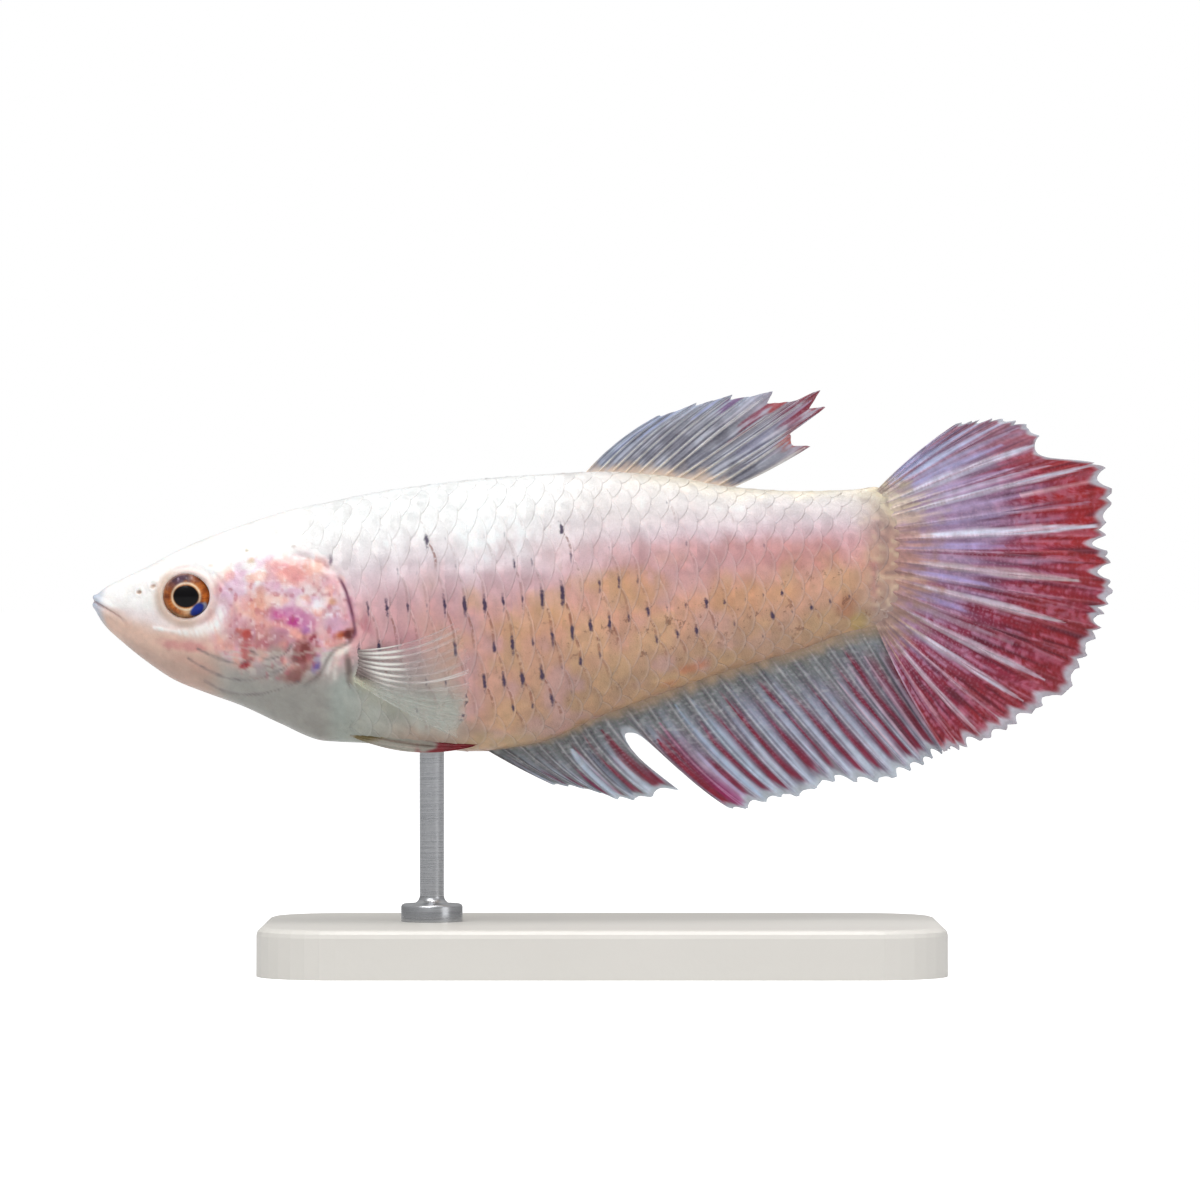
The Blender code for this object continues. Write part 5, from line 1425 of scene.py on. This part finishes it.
# Reach from the centre to the fin's edge: direction, distance.
CAUDAL_REACH = (
    (-76, 12.40), (-70, 12.35), (-61, 12.35), (-53, 12.60), (-44, 12.90), (-33, 13.40), (-22, 13.20),
    (-12, 13.45), (-2, 13.45), (4, 12.90), (9, 13.50), (16, 13.80), (25, 14.25), (29, 13.20), (35, 11.85),
    (47, 11.65), (54, 10.80), (66, 9.30),
)
CAUDAL_ASIDE = 0.62  # how far the lowest rays lie to the left, over the anal fin's rear
CAUDAL_LINES = (
    0.0, 0.55, 1.1, 1.75, 2.7, 3.4, 4.0, 4.9, 5.7, 6.4, 7.2, 7.8, 8.45, 9.3, 10.2, 11.1, 12.0, 12.8, 13.5,
    14.0,
)
CAUDAL_STREAKS = (
    (0.10, 0.06, 0.96, 0.26, (186, 202, 232), 0.80),
    (0.50, 0.14, 0.90, 0.18, (150, 156, 208), 0.60),
    (0.85, 0.10, 0.98, 0.30, (180, 194, 230), 0.80),
    (1.45, 0.14, 0.98, 0.28, (182, 196, 230), 0.80),
    (1.95, 0.18, 0.95, 0.20, (186, 184, 220), 0.65),
    (2.30, 0.14, 0.80, 0.22, (164, 170, 216), 0.65),
    (2.72, 0.10, 0.96, 0.38, (214, 218, 238), 0.90),
    (3.30, 0.12, 0.72, 0.34, (186, 172, 212), 0.75),
    (3.62, 0.20, 0.84, 0.30, (210, 200, 226), 0.85),
    (4.02, 0.10, 0.95, 0.28, (216, 222, 240), 0.90),
    (4.45, 0.14, 0.66, 0.26, (184, 168, 206), 0.65),
    (4.45, 0.60, 0.97, 0.14, (232, 196, 206), 0.75),
    (4.95, 0.14, 0.60, 0.24, (176, 166, 212), 0.65),
    (4.95, 0.50, 0.92, 0.14, (200, 190, 224), 0.60),
    (5.60, 0.10, 0.97, 0.34, (222, 226, 244), 0.95),
    (6.15, 0.08, 0.55, 0.24, (178, 168, 222), 0.75),
    (6.60, 0.16, 0.90, 0.14, (206, 172, 200), 0.60),
    (7.15, 0.10, 0.86, 0.32, (200, 192, 196), 0.85),
    (7.70, 0.08, 0.48, 0.24, (176, 168, 224), 0.75),
    (8.05, 0.30, 0.80, 0.10, (196, 160, 190), 0.50),
    (8.42, 0.14, 0.84, 0.30, (206, 202, 212), 0.85),
    (8.95, 0.10, 0.42, 0.24, (164, 152, 206), 0.65),
    (9.55, 0.14, 0.66, 0.22, (178, 164, 176), 0.60),
    (10.2, 0.14, 0.88, 0.30, (200, 196, 210), 0.85),
    (10.7, 0.20, 0.60, 0.14, (176, 150, 178), 0.50),
    (11.1, 0.16, 0.90, 0.28, (208, 210, 226), 0.90),
    (11.6, 0.25, 0.70, 0.10, (190, 150, 176), 0.50),
    (12.0, 0.20, 0.95, 0.13, (204, 172, 188), 0.65),
    (12.8, 0.16, 0.96, 0.20, (210, 200, 214), 0.80),
    (13.5, 0.20, 0.96, 0.11, (214, 176, 190), 0.60),
    (14.0, 0.15, 0.96, 0.13, (196, 170, 196), 0.65),
)


def paint_caudal(f):
    """The body's own colours at the root, violet with fine dots, then crimson to a clear grey edge. Pale
    streaks lie along the rays, widest half way, with fine pink and lilac lines between them."""
    place, s, ray = f["place"], f["s"], f["ray"]
    dapple = noise(place, 0.40, 51)
    broad = noise(place, 2.4, 52)
    hair = fibres(f, 6.0, 0.30, 53)
    thread = fibres(f, 13.0, 0.45, 54)
    grain = noise(place, 0.22, 55)
    low = eased(8.0, 12.0, ray)
    high = faded(1.5, 4.0, ray)
    right = bell(ray - 5.0, 2.6)
    wide = bell(ray - 3.6, 2.6)
    wash = Wash((146, 120, 152), place)
    start = 0.17 + 0.13 * right + 0.08 * wide
    turn = eased(start, start + 0.40, s + 0.24 * hair + 0.08 * broad + 0.10 * low)
    wash.lay(CRIMSON, turn)
    glow = tone((160, 36, 38)) * right[..., None] + tone((132, 34, 42)) * (1 - right[..., None])
    wash.lay(glow, 0.90 * eased(0.54, 0.94, s + 0.18 * hair + 0.10 * broad + 0.05 * low))
    lilac = 0.68 * eased(0.10, 0.60, thread + 0.5 * grain) * (1 - 0.60 * eased(0.55, 0.95, s))
    wash.lay((184, 150, 182), lilac)
    wash.lay((70, 20, 40), 0.55 * eased(0.20, 0.75, -thread) * eased(0.28, 0.55, s))
    wash.lay((182, 84, 104), 0.42 * eased(0.1, 0.6, grain + 0.5 * thread) * eased(0.4, 0.7, s))
    wash.lay(PALE_BLUE, 0.45 * high * eased(0.12, 0.4, s + 0.2 * thread))
    wash.lay((150, 146, 186), 0.45 * high * eased(0.1, 0.6, hair) * eased(0.25, 0.5, s))
    haze = 0.36 * wide * bell(s - 0.32, 0.22) * (0.7 + 0.6 * thread)
    wash.lay((180, 160, 196), np.clip(haze, 0.0, 1.0))
    wash.lay_streaks(f, CAUDAL_STREAKS)
    thin = np.maximum(f["stem"], 0.9 * f["twig"])
    wash.lay((214, 178, 190), 0.38 * thin * eased(0.10, 0.3, s))
    beside = np.stack([np.minimum(place[..., 0], 48.4), place[..., 1] + 1.2, place[..., 2]], axis=-1)
    near = faded(0.07, 0.30, s + 0.06 * dapple + 0.10 * thread)
    wash.lay(body_colour(beside), 0.92 * near)
    wash.lay((116, 96, 100), 0.35 * bell(s - 0.17, 0.10) * eased(0.1, 0.7, thread))
    wash.lay((134, 106, 108), 0.30 * near * eased(0.1, 0.6, grain + 0.3 * thread))
    clear = 0.030 + 0.03 * eased(8.5, 12.0, ray) + 0.012 * broad
    edge = faded(0.4 * clear, 1.5 * clear, f["to_edge"] + 0.02 * hair)
    wash.lay(TIP_GREY, 0.85 * edge)
    wash.shade(1 + 0.08 * dapple)
    f["dots"][:] = (0.20 - 0.15 * eased(0.35, 0.75, s)) * eased(0.10, 0.25, s)
    return with_alpha(wash.colour, 0.98 - 0.25 * faded(0.0, 0.05, f["to_edge"]))


def build_caudal_fin(material):
    at = np.radians(np.linspace(*CAUDAL_ROOTS, CAUDAL_RAYS))
    toward = np.linspace(*CAUDAL_DIRECTIONS, CAUDAL_RAYS)
    reach = through(CAUDAL_REACH, 1, toward)
    toward = np.radians(toward)
    root_x = STALK_END + (STALK_ROUND_LENGTH - CAUDAL_ROOT_INSIDE[0]) * np.cos(at)
    root_z = STALK_LEVEL + (STALK_HALF_DEPTH - CAUDAL_ROOT_INSIDE[1]) * np.sin(at)
    tip_x = CAUDAL_CENTRE[0] + reach * np.cos(toward)
    tip_z = CAUDAL_CENTRE[1] + reach * np.sin(toward)
    order = np.arange(CAUDAL_RAYS)
    from_top = order / (CAUDAL_RAYS - 1)
    bow = 0.03 * np.maximum(0.0, 1 - 3 * from_top) - 0.025 * np.maximum(0.0, 3 * from_top - 2)
    front = -CAUDAL_ASIDE * eased(10.5, 13.0, order)
    sway = 0.14 * np.sin(1.5 * order) * faded(10.0, 13.0, order)
    roots, tips = np.stack([root_x, 0 * at, root_z], axis=1), np.stack([tip_x, 0 * at, tip_z], axis=1)
    fin = Fin(roots, tips, bow, sway, front, 0.45)
    half = (0, 0.05, 0.10, 0.16, 0.22, 0.28, 0.34, 0.42, 0.5)
    look = {
        "lines": CAUDAL_LINES, "steps": both_halves(half), "branch_step": 0.22, "rows": 150, "seed": 12,
        "notch": 0.050, "centre_notch": 0.030, "uneven": 0.020, "fork": 0.20, "fork_start": 0.38,
        "ray_width": 0.12, "membrane": 0.06, "ridge": 0.13, "root": 0.22, "pleat": 0.06,
        "tears": ((3.3, 0.10, 0.8, 1.6),),
    }
    fin_sheet("caudal_fin", fin, material, paint_caudal, look)


PECTORAL_ROOT = ((15.20, -3.00), (15.50, -4.55))
PECTORAL_TIPS = ((0, 22.4, -1.40), (3, 23.4, -3.70), (5, 23.5, -6.00), (8, 22.6, -8.40))
PECTORAL_INSIDE = 0.45  # how deep in the shoulder the roots lie
PECTORAL_SAG = ((0, 0.075), (3, 0.135), (5, 0.10), (8, 0.02))
PECTORAL_OUT = 6.45  # how far out from the middle of the fish the tips stand
PECTORAL_LINES = (0.0, 0.55, 1.05, 1.7, 2.2, 2.9, 3.5, 4.2, 5.1, 6.3, 8.0)


def paint_pectoral(f):
    """Bright white rays fan out from a painted shadow at the root and fade towards a clear edge. The lower
    half is a milky film with a dark broken line at its end."""
    place, s, ray = f["place"], f["s"], f["ray"]
    dapple = noise(place, 0.5, 61)
    hair = fibres(f, 5.0, 0.35, 62)
    each = fibres(f, 0.9, 0.10, 64)
    low = eased(3.7, 5.4, ray + 0.3 * dapple)
    wash = Wash((196, 184, 184), place)
    wash.lay((176, 180, 172), low)
    thin = np.maximum(f["stem"], 0.6 * f["twig"])
    near = (1 - 0.75 * low) * faded(0.22, 0.66, s - 0.10 * each)
    far = 0.95 * bell(ray - 3.6, 0.60) * eased(0.45, 0.75, s)
    far = far + 0.45 * bell(ray - 0.5, 0.8) * eased(0.3, 0.7, s)
    bright = np.clip(near + far, 0, 1)
    wash.lay((252, 250, 244), np.clip(thin * (0.3 + bright), 0, 1))
    wash.lay((232, 230, 204), 0.85 * bell(s - 0.16, 0.09) * eased(3.6, 5.0, ray))
    # Painted shadow where the fin leaves the shoulder.
    shadow = faded(0.15, 0.36, s + 0.03 * hair + 0.04 * each) * faded(4.5, 6.5, ray)
    wash.lay((108, 92, 90), 0.88 * shadow)
    broken = eased(-0.1, 0.2, fibres(f, 6.0, 0.0, 63))
    dashes = bell(s - 0.965, 0.012) * eased(4.0, 4.6, ray) * faded(6.6, 7.2, ray) * broken
    wash.lay((66, 56, 74), 0.9 * dashes)
    alpha = 0.07 + thin * np.clip(0.10 + 0.85 * bright + 0.10 * each, 0, 1)
    cloud = 0.34 + 0.20 * hair + 0.16 * dapple
    alpha = alpha * (1 - low) + (cloud * eased(0.1, 0.4, s) + 0.25 * thin * near) * low
    alpha = alpha * eased(0.02, 0.12, s) + 0.55 * bell(s - 0.13, 0.06)
    alpha = np.maximum(alpha * (1 - 0.6 * eased(0.86, 1.0, s)), 0.8 * dashes)
    return with_alpha(wash.colour, np.clip(alpha, 0.03, 1.0))


def build_pectoral_fins(material):
    """The roots sit just under the skin of the shoulder, and the fins stand out and sweep back from there."""
    count = PECTORAL_TIPS[-1][0] + 1
    order = np.arange(count)
    top, bottom = (np.array(end) for end in PECTORAL_ROOT)
    x, z = (top + (bottom - top) * (order / (count - 1))[:, None]).T
    upper, lower, half_width = body_section(x)
    level = widest_level(upper, lower)
    surface = half_width * oval((level - z) / (level - lower))
    droop = 0.25 * np.abs(order - 0.5 * (count - 1)) / (count - 1)
    look = {
        "lines": PECTORAL_LINES, "steps": tuple(np.linspace(0, 1, 15)), "branch_step": 0.15, "rows": 110,
        "seed": 15, "notch": 0.02, "centre_notch": 0.0, "uneven": 0.030, "fork": 0.10, "fork_start": 0.45,
        "ray_width": 0.125, "membrane": 0.03, "ridge": 0.08, "root": 0.0, "pleat": 0.03,
    }
    for side, name in ((-1, "pectoral_fin_left"), (1, "pectoral_fin_right")):
        roots = np.stack([x, side * (surface - PECTORAL_INSIDE), z], axis=1)
        tips = ray_tips(PECTORAL_TIPS, order, side * (PECTORAL_OUT - droop))
        fin = Fin(roots, tips, -through(PECTORAL_SAG, 1, order), 0 * order, 0 * order, 0.5)
        fin_sheet(name, fin, material, paint_pectoral, look)


PELVIC_ROOT = 16.0
PELVIC_LENGTH = 7.9
PELVIC_OUT = 1.45
# Of the root and the tip: share of the length, step between its rays along and down, depth in the belly.
PELVIC_ENDS = ((0.0, 0.1, 0.12, 0.25), (1.0, 0.5, 0.16, 0.12))


def paint_pelvic(f):
    """Olive-brown above at the root, then a fine dark line over pale film, and dark red towards the tip."""
    place, s, ray = f["place"], f["s"], f["ray"]
    dapple = noise(place, 0.5, 71)
    wash = Wash((170, 168, 158), place)
    olive = faded(0.16, 0.34, s + 0.05 * ray) * eased(0.01, 0.05, s)
    wash.lay((96, 80, 30), 0.9 * olive)
    line = bell(ray - 0.5 - 1.3 * s, 0.30) * eased(0.15, 0.3, s) * faded(0.62, 0.72, s)
    wash.lay((92, 76, 66), 0.75 * line)
    wash.lay((124, 22, 34), 0.95 * eased(0.56, 0.72, s + 0.12 * dapple))
    wash.lay((206, 190, 180), 0.25 * f["stem"])
    wash.shade(1 + 0.08 * dapple)
    return with_alpha(wash.colour, 0.97)


def build_pelvic_fins(material):
    """Each is a narrow blade folded back along the belly, slim at both ends."""
    look = {
        "lines": (0, 1, 2, 3), "steps": tuple(np.linspace(0, 1, 19)), "branch_step": 0.1, "rows": 120,
        "seed": 18, "notch": 0.01, "centre_notch": 0.0, "uneven": 0.008, "fork": 0.0, "fork_start": 0.5,
        "ray_width": 0.09, "membrane": 0.06, "ridge": 0.07, "root": 0.05, "pleat": 0.02,
    }
    place = np.linspace(0.0, 1.0, 4)
    for side, name in ((-1, "pelvic_fin_left"), (1, "pelvic_fin_right")):
        ends = []
        for share, shift, depth, inside in PELVIC_ENDS:
            back = PELVIC_ROOT + PELVIC_LENGTH * share - shift * place
            top, bottom, half_width = body_section(back)
            level = widest_level(top, bottom)
            under = level - (level - bottom) * oval(PELVIC_OUT / half_width) + inside
            ends.append(np.stack([back, side * (PELVIC_OUT + 0 * back), under - depth * place], axis=1))
        fin = Fin(*ends, -0.085 * place, 0 * place, 0 * place, 0.5)
        fin_sheet(name, fin, material, paint_pelvic, look)


# Eyes


def eye_colour(x, z):
    """Colours of the eye by the place on its front, where the opening's rim is at 1: black pupil in a cream
    ring, chestnut iris with dark streaks above, a deep blue gleam below and behind, and a soft rim."""
    r = np.hypot(x, z)
    angle = np.degrees(np.arctan2(z, x))

    def toward(direction, width):
        """1 in a direction in degrees, and falling to nothing past the width."""
        return bell((angle - direction + 180) % 360 - 180, width)

    place = np.stack([x * 3, z * 3, 0 * x], axis=-1)
    around = np.stack([np.cos(np.radians(angle)) * 4, np.sin(np.radians(angle)) * 4, r * 1.2], axis=-1)
    fibres_in = noise(around, 0.22, 81)
    patchy = noise(place, 0.8, 82)
    fine = noise(place, 0.35, 83)
    wash = Wash((164, 84, 34), place)
    wash.lay((214, 134, 62), 0.60 * eased(-0.1, 0.7, 0.5 * fibres_in + 0.8 * patchy))
    wash.lay((104, 46, 24), 0.60 * eased(0.0, 0.7, -0.5 * fibres_in - 0.6 * patchy + 0.3 * fine))
    sides = toward(8, 34) + toward(190, 30)
    wash.lay((206, 112, 36), 0.55 * sides * bell(r - 0.84, 0.13) * eased(-0.4, 0.3, patchy + 0.3 * fine))
    above = toward(108, 46)
    wash.lay((66, 50, 74), 0.90 * above * eased(0.52, 0.76, r + 0.12 * patchy + 0.08 * fine))
    # Painted reflection: a pinkish sheen over the dark streaks above the pupil.
    wash.lay((196, 180, 196), 0.55 * above * eased(0.25, 0.7, fine) * bell(r - 0.86, 0.10))
    cream = bell(r - 0.60, 0.06) + 0.8 * bell(r - 0.74, 0.13) * toward(-78, 30)
    wash.lay((228, 210, 184), np.clip(0.85 * cream, 0, 0.95))
    hoop = toward(-110, 50) * bell(r - 0.93, 0.07)
    wash.lay((140, 132, 110), 0.7 * hoop)
    gleam = ellipse_distance(x - 0.50, z + 0.58, 0.37, 0.23, 40) + 0.12 * patchy
    wash.lay((18, 44, 138), 0.97 * faded(0.70, 1.20, gleam))
    glaze = ellipse_distance(x - 0.74, z + 0.60, 0.24, 0.36, 0) + 0.2 * fine
    wash.lay((150, 190, 232), 0.75 * faded(0.6, 1.2, glaze) * eased(0.75, 1.1, gleam))
    wash.lay((8, 6, 9), faded(0.475, 0.555, np.hypot(x / 1.06, z / 0.97)))
    wash.lay((172, 136, 116), 0.65 * eased(0.93, 1.02, r))
    wash.shade(1 + 0.10 * patchy)
    return np.clip(wash.colour, 0, 1)


def build_eyes(material):
    """A flattened ball with its pole facing out. Rows run from the pole round to the back."""
    rows, count = 95, 128
    polar = np.linspace(0.0, math.pi, rows + 2)[1:-1]
    phi = np.linspace(0, 2 * math.pi, count, endpoint=False)
    a, p = np.meshgrid(polar, phi, indexing="ij")
    quads, fans = grid_quads(rows, count, wrap=True), pole_fans(rows, count)
    for side, name in ((-1, "eye_left"), (1, "eye_right")):
        off = np.stack([np.sin(a) * np.cos(p), side * np.cos(a), np.sin(a) * np.sin(p)], axis=-1)
        poles = np.array([(0.0, side, 0.0), (0.0, -side, 0.0)])
        shape = np.vstack([off.reshape(-1, 3), poles]) * EYE_RADII
        centre = np.array((EYE_CENTRE[0], side * EYE_CENTRE[1], EYE_CENTRE[2]))
        tint = eye_colour(shape[:, 0] / EYE_OPENING[0], shape[:, 2] / EYE_OPENING[1])
        piece = make_piece(f"{name}_ball", centre + shape, quads, material, tint, fans)
        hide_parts(name)


def eye_material():
    """A wet cornea over the painted iris."""
    wet = {"Specular IOR Level": 0.08, "Coat Roughness": 0.05}
    made, tree, shader = new_material("betta_eye", 0.35, coat=0.22, more=wet)
    fleck = node(tree, "ShaderNodeTexNoise", Scale=9000.0, Detail=3.0)
    on_object(tree, fleck)
    shade = math_node(tree, "MULTIPLY_ADD", fleck.outputs["Fac"], 0.5, 0.75)
    tree.links.new(shaded(tree, attribute(tree, "tint", "Color"), shade), shader.inputs["Base Color"])
    add_bump(tree, shader, fleck.outputs["Fac"], FINE_BUMP, 0.5)
    return made


# Stand


def base_material():
    """Off-white satin paint with a fine orange-peel skin."""
    made, tree, shader = new_material("satin_paint", 0.42, coat=0.1)
    peel = node(tree, "ShaderNodeTexNoise", Scale=1400.0, Detail=2.0)
    cloud = node(tree, "ShaderNodeTexNoise", Scale=60.0, Detail=3.0)
    on_object(tree, peel, cloud)
    colour = tint_mix(tree, cloud.outputs["Fac"], flat((222, 219, 212)), flat((232, 229, 223)))
    tree.links.new(colour, shader.inputs["Base Color"])
    rough = math_node(tree, "MULTIPLY_ADD", cloud.outputs["Fac"], 0.12, 0.36)
    tree.links.new(rough, shader.inputs["Roughness"])
    add_bump(tree, shader, peel.outputs["Fac"], FILM_BUMP)
    return made


def rod_material():
    """Steel with the fine rings that turning leaves."""
    made, tree, shader = new_material("turned_steel", 0.28, metallic=1.0)
    stretch = node(tree, "ShaderNodeMapping", Scale=(300.0, 300.0, 9000.0))
    rings = node(tree, "ShaderNodeTexNoise", Scale=1.0, Detail=3.0)
    on_object(tree, stretch)
    tree.links.new(stretch.outputs[0], rings.inputs["Vector"])
    colour = tint_mix(tree, rings.outputs["Fac"], flat((176, 178, 182)), flat((206, 207, 210)))
    tree.links.new(colour, shader.inputs["Base Color"])
    rough = math_node(tree, "MULTIPLY_ADD", rings.outputs["Fac"], 0.2, 0.18)
    tree.links.new(rough, shader.inputs["Roughness"])
    add_bump(tree, shader, rings.outputs["Fac"], FINE_BUMP, 0.6)
    return made


ROD_BACK = 20.9
ROD_RADIUS = 0.75
ROD_INSIDE = 0.75  # how far the rod runs on into the belly
FLANGE_RADIUS = 1.9
FLANGE_HEIGHT = 0.8
FILLET_RADIUS = 0.5


def build_rod(material):
    """A turned rod: its profile carried round the upright axis. The flange stands on the base, and the top
    runs a little way into the belly."""
    low, high = (corner[2] / MM - SNOUT_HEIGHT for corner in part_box("stand_rod"))
    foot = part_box("stand_base")[1][2] / MM - SNOUT_HEIGHT
    bend = np.radians(np.linspace(90, 0, 12))
    flange_top, top = low + FLANGE_HEIGHT, high + ROD_INSIDE
    fillet = np.stack([ROD_RADIUS + FILLET_RADIUS * (1 - np.sin(bend)),
                       flange_top + FILLET_RADIUS * (1 - np.cos(bend))], axis=1)
    worn_edge = [(FLANGE_RADIUS - 0.18, flange_top), (FLANGE_RADIUS - 0.06, flange_top - 0.06),
                 (FLANGE_RADIUS, flange_top - 0.18)]
    middle = 0.02  # radius of the small rings round the two end points
    end = [(FLANGE_RADIUS, foot), (middle, foot)]
    profile = np.vstack([(middle, top), (ROD_RADIUS, top), fillet, worn_edge, end])
    count = 72
    phi = np.linspace(0, 2 * math.pi, count, endpoint=False)
    radius, level = profile[:, 0, None], profile[:, 1, None]
    x, y = ROD_BACK + radius * np.cos(phi), radius * np.sin(phi)
    rings = np.stack([x, y, level + 0 * x], axis=-1)
    points = np.vstack([rings.reshape(-1, 3), (ROD_BACK, 0, top), (ROD_BACK, 0, foot)])
    quads, fans = grid_quads(len(profile), count, wrap=True), pole_fans(len(profile), count)
    rod = make_piece("stand_rod_turned", points, quads, material, None, fans)
    rod.data.set_sharp_from_angle(angle=math.radians(40))
    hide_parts("stand_rod")


# Stage


WHITE_LIGHT = (1.0, 1.0, 1.0, 1.0)
# Each lamp's name, place and size in metres, and power in watts.
LAMPS = (
    ("key", (-0.12, -0.30, 0.42), 0.30, 0.95),
    ("top", (0.03, -0.06, 0.50), 0.22, 0.8),
    ("side", (0.38, -0.28, 0.16), 0.20, 0.16),
)
FLOOR_RADIUS = 12.0
FLOOR_GLOW = 0.60  # what the camera sees on top of the floor's own shade
SKY_LEVEL = 0.26
SKY_OVERHEAD = 0.48  # how much brighter the sky is straight above


def build_stage():
    """A wide pale floor under a soft white studio sky that is brighter overhead, with three soft lamps."""
    bpy.ops.mesh.primitive_circle_add(vertices=96, radius=FLOOR_RADIUS, fill_type="NGON")
    floor = bpy.context.object
    floor.name = "floor"
    pale = {"Base Color": (0.75, 0.75, 0.755, 1.0), "Specular IOR Level": 0.1, "Emission Color": WHITE_LIGHT}
    made, tree, shader = new_material("pale_floor", 0.8, more=pale)
    straight = tree.nodes.new("ShaderNodeLightPath").outputs["Is Camera Ray"]
    tree.links.new(math_node(tree, "MULTIPLY", straight, FLOOR_GLOW), shader.inputs["Emission Strength"])
    floor.data.materials.append(made)

    world = bpy.data.worlds.new("studio")
    bpy.context.scene.world = world
    world.use_nodes = True
    tree = world.node_tree
    nodes, link = tree.nodes, tree.links.new
    glow = nodes["Background"]
    seen = nodes.new("ShaderNodeBackground")
    path = nodes.new("ShaderNodeLightPath")
    mix = nodes.new("ShaderNodeMixShader")
    way = nodes.new("ShaderNodeTexCoord")
    parts = nodes.new("ShaderNodeSeparateXYZ")
    link(way.outputs["Generated"], parts.inputs[0])
    up = math_node(tree, "MAXIMUM", parts.outputs[2], 0.0)
    link(math_node(tree, "MULTIPLY_ADD", up, SKY_OVERHEAD, SKY_LEVEL), glow.inputs["Strength"])
    set_inputs(glow, {"Color": WHITE_LIGHT})
    set_inputs(seen, {"Color": WHITE_LIGHT, "Strength": 1.0})
    link(path.outputs["Is Camera Ray"], mix.inputs[0])
    link(glow.outputs[0], mix.inputs[1])
    link(seen.outputs[0], mix.inputs[2])
    link(mix.outputs[0], nodes["World Output"].inputs["Surface"])

    for lamp in LAMPS:
        soft_lamp(*lamp)
    bpy.context.scene.view_settings.view_transform = "Standard"


def soft_lamp(name, location, size, power):
    """A square soft lamp that is aimed at the fish."""
    lamp = bpy.data.lights.new(name, "AREA")
    lamp.size, lamp.energy = size, power
    made = bpy.data.objects.new(name, lamp)
    made.location = location
    direction = Vector((0.0, 0.0, SNOUT_HEIGHT * MM)) - Vector(location)
    made.rotation_euler = direction.to_track_quat("-Z", "Y").to_euler()
    bpy.context.scene.collection.objects.link(made)


PHOTO_WIDTH = 0.0741  # what the photo's frame spans at the fish, in metres
CAMERA_DISTANCE = 0.42
CAMERA_BACK = -0.00013  # sets the fish as far to the side of the frame as in the photo
SENSOR_WIDTH = 36.0


def build_camera():
    """Level and square to the left flank, as in the photo. The frame spans PHOTO_WIDTH at the fish."""
    data = bpy.data.cameras.new("camera")
    data.sensor_width = SENSOR_WIDTH
    data.lens = SENSOR_WIDTH * CAMERA_DISTANCE / PHOTO_WIDTH
    data.clip_start, data.clip_end = 0.01, 20.0
    camera = bpy.data.objects.new("camera", data)
    camera.location = (CAMERA_BACK, -CAMERA_DISTANCE, SNOUT_HEIGHT * MM)
    camera.rotation_euler = (math.pi / 2, 0.0, 0.0)
    bpy.context.scene.collection.objects.link(camera)
    bpy.context.scene.camera = camera


def main():
    build_camera()
    build_stage()
    grain = skin_grain_group()
    film = fin_film_group()
    build_skin(skin_material(grain))
    scales = scale_material(grain)
    for side in (-1, 1):
        build_scales(side, scales)
    red_fin = fin_material("red_fin_film", film, 0.28, 0.085, 6.0, (206, 170, 196))
    pale_fin = fin_material("pale_fin_film", film, 0.30, 0.05, 5.0, (206, 208, 214))
    build_dorsal_fin(pale_fin)
    build_anal_fin(red_fin)
    build_caudal_fin(red_fin)
    build_pectoral_fins(pale_fin)
    build_pelvic_fins(red_fin)
    build_eyes(eye_material())
    build_rod(rod_material())
    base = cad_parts["stand_base"]
    base.data.materials.clear()
    base.data.materials.append(base_material())


main()
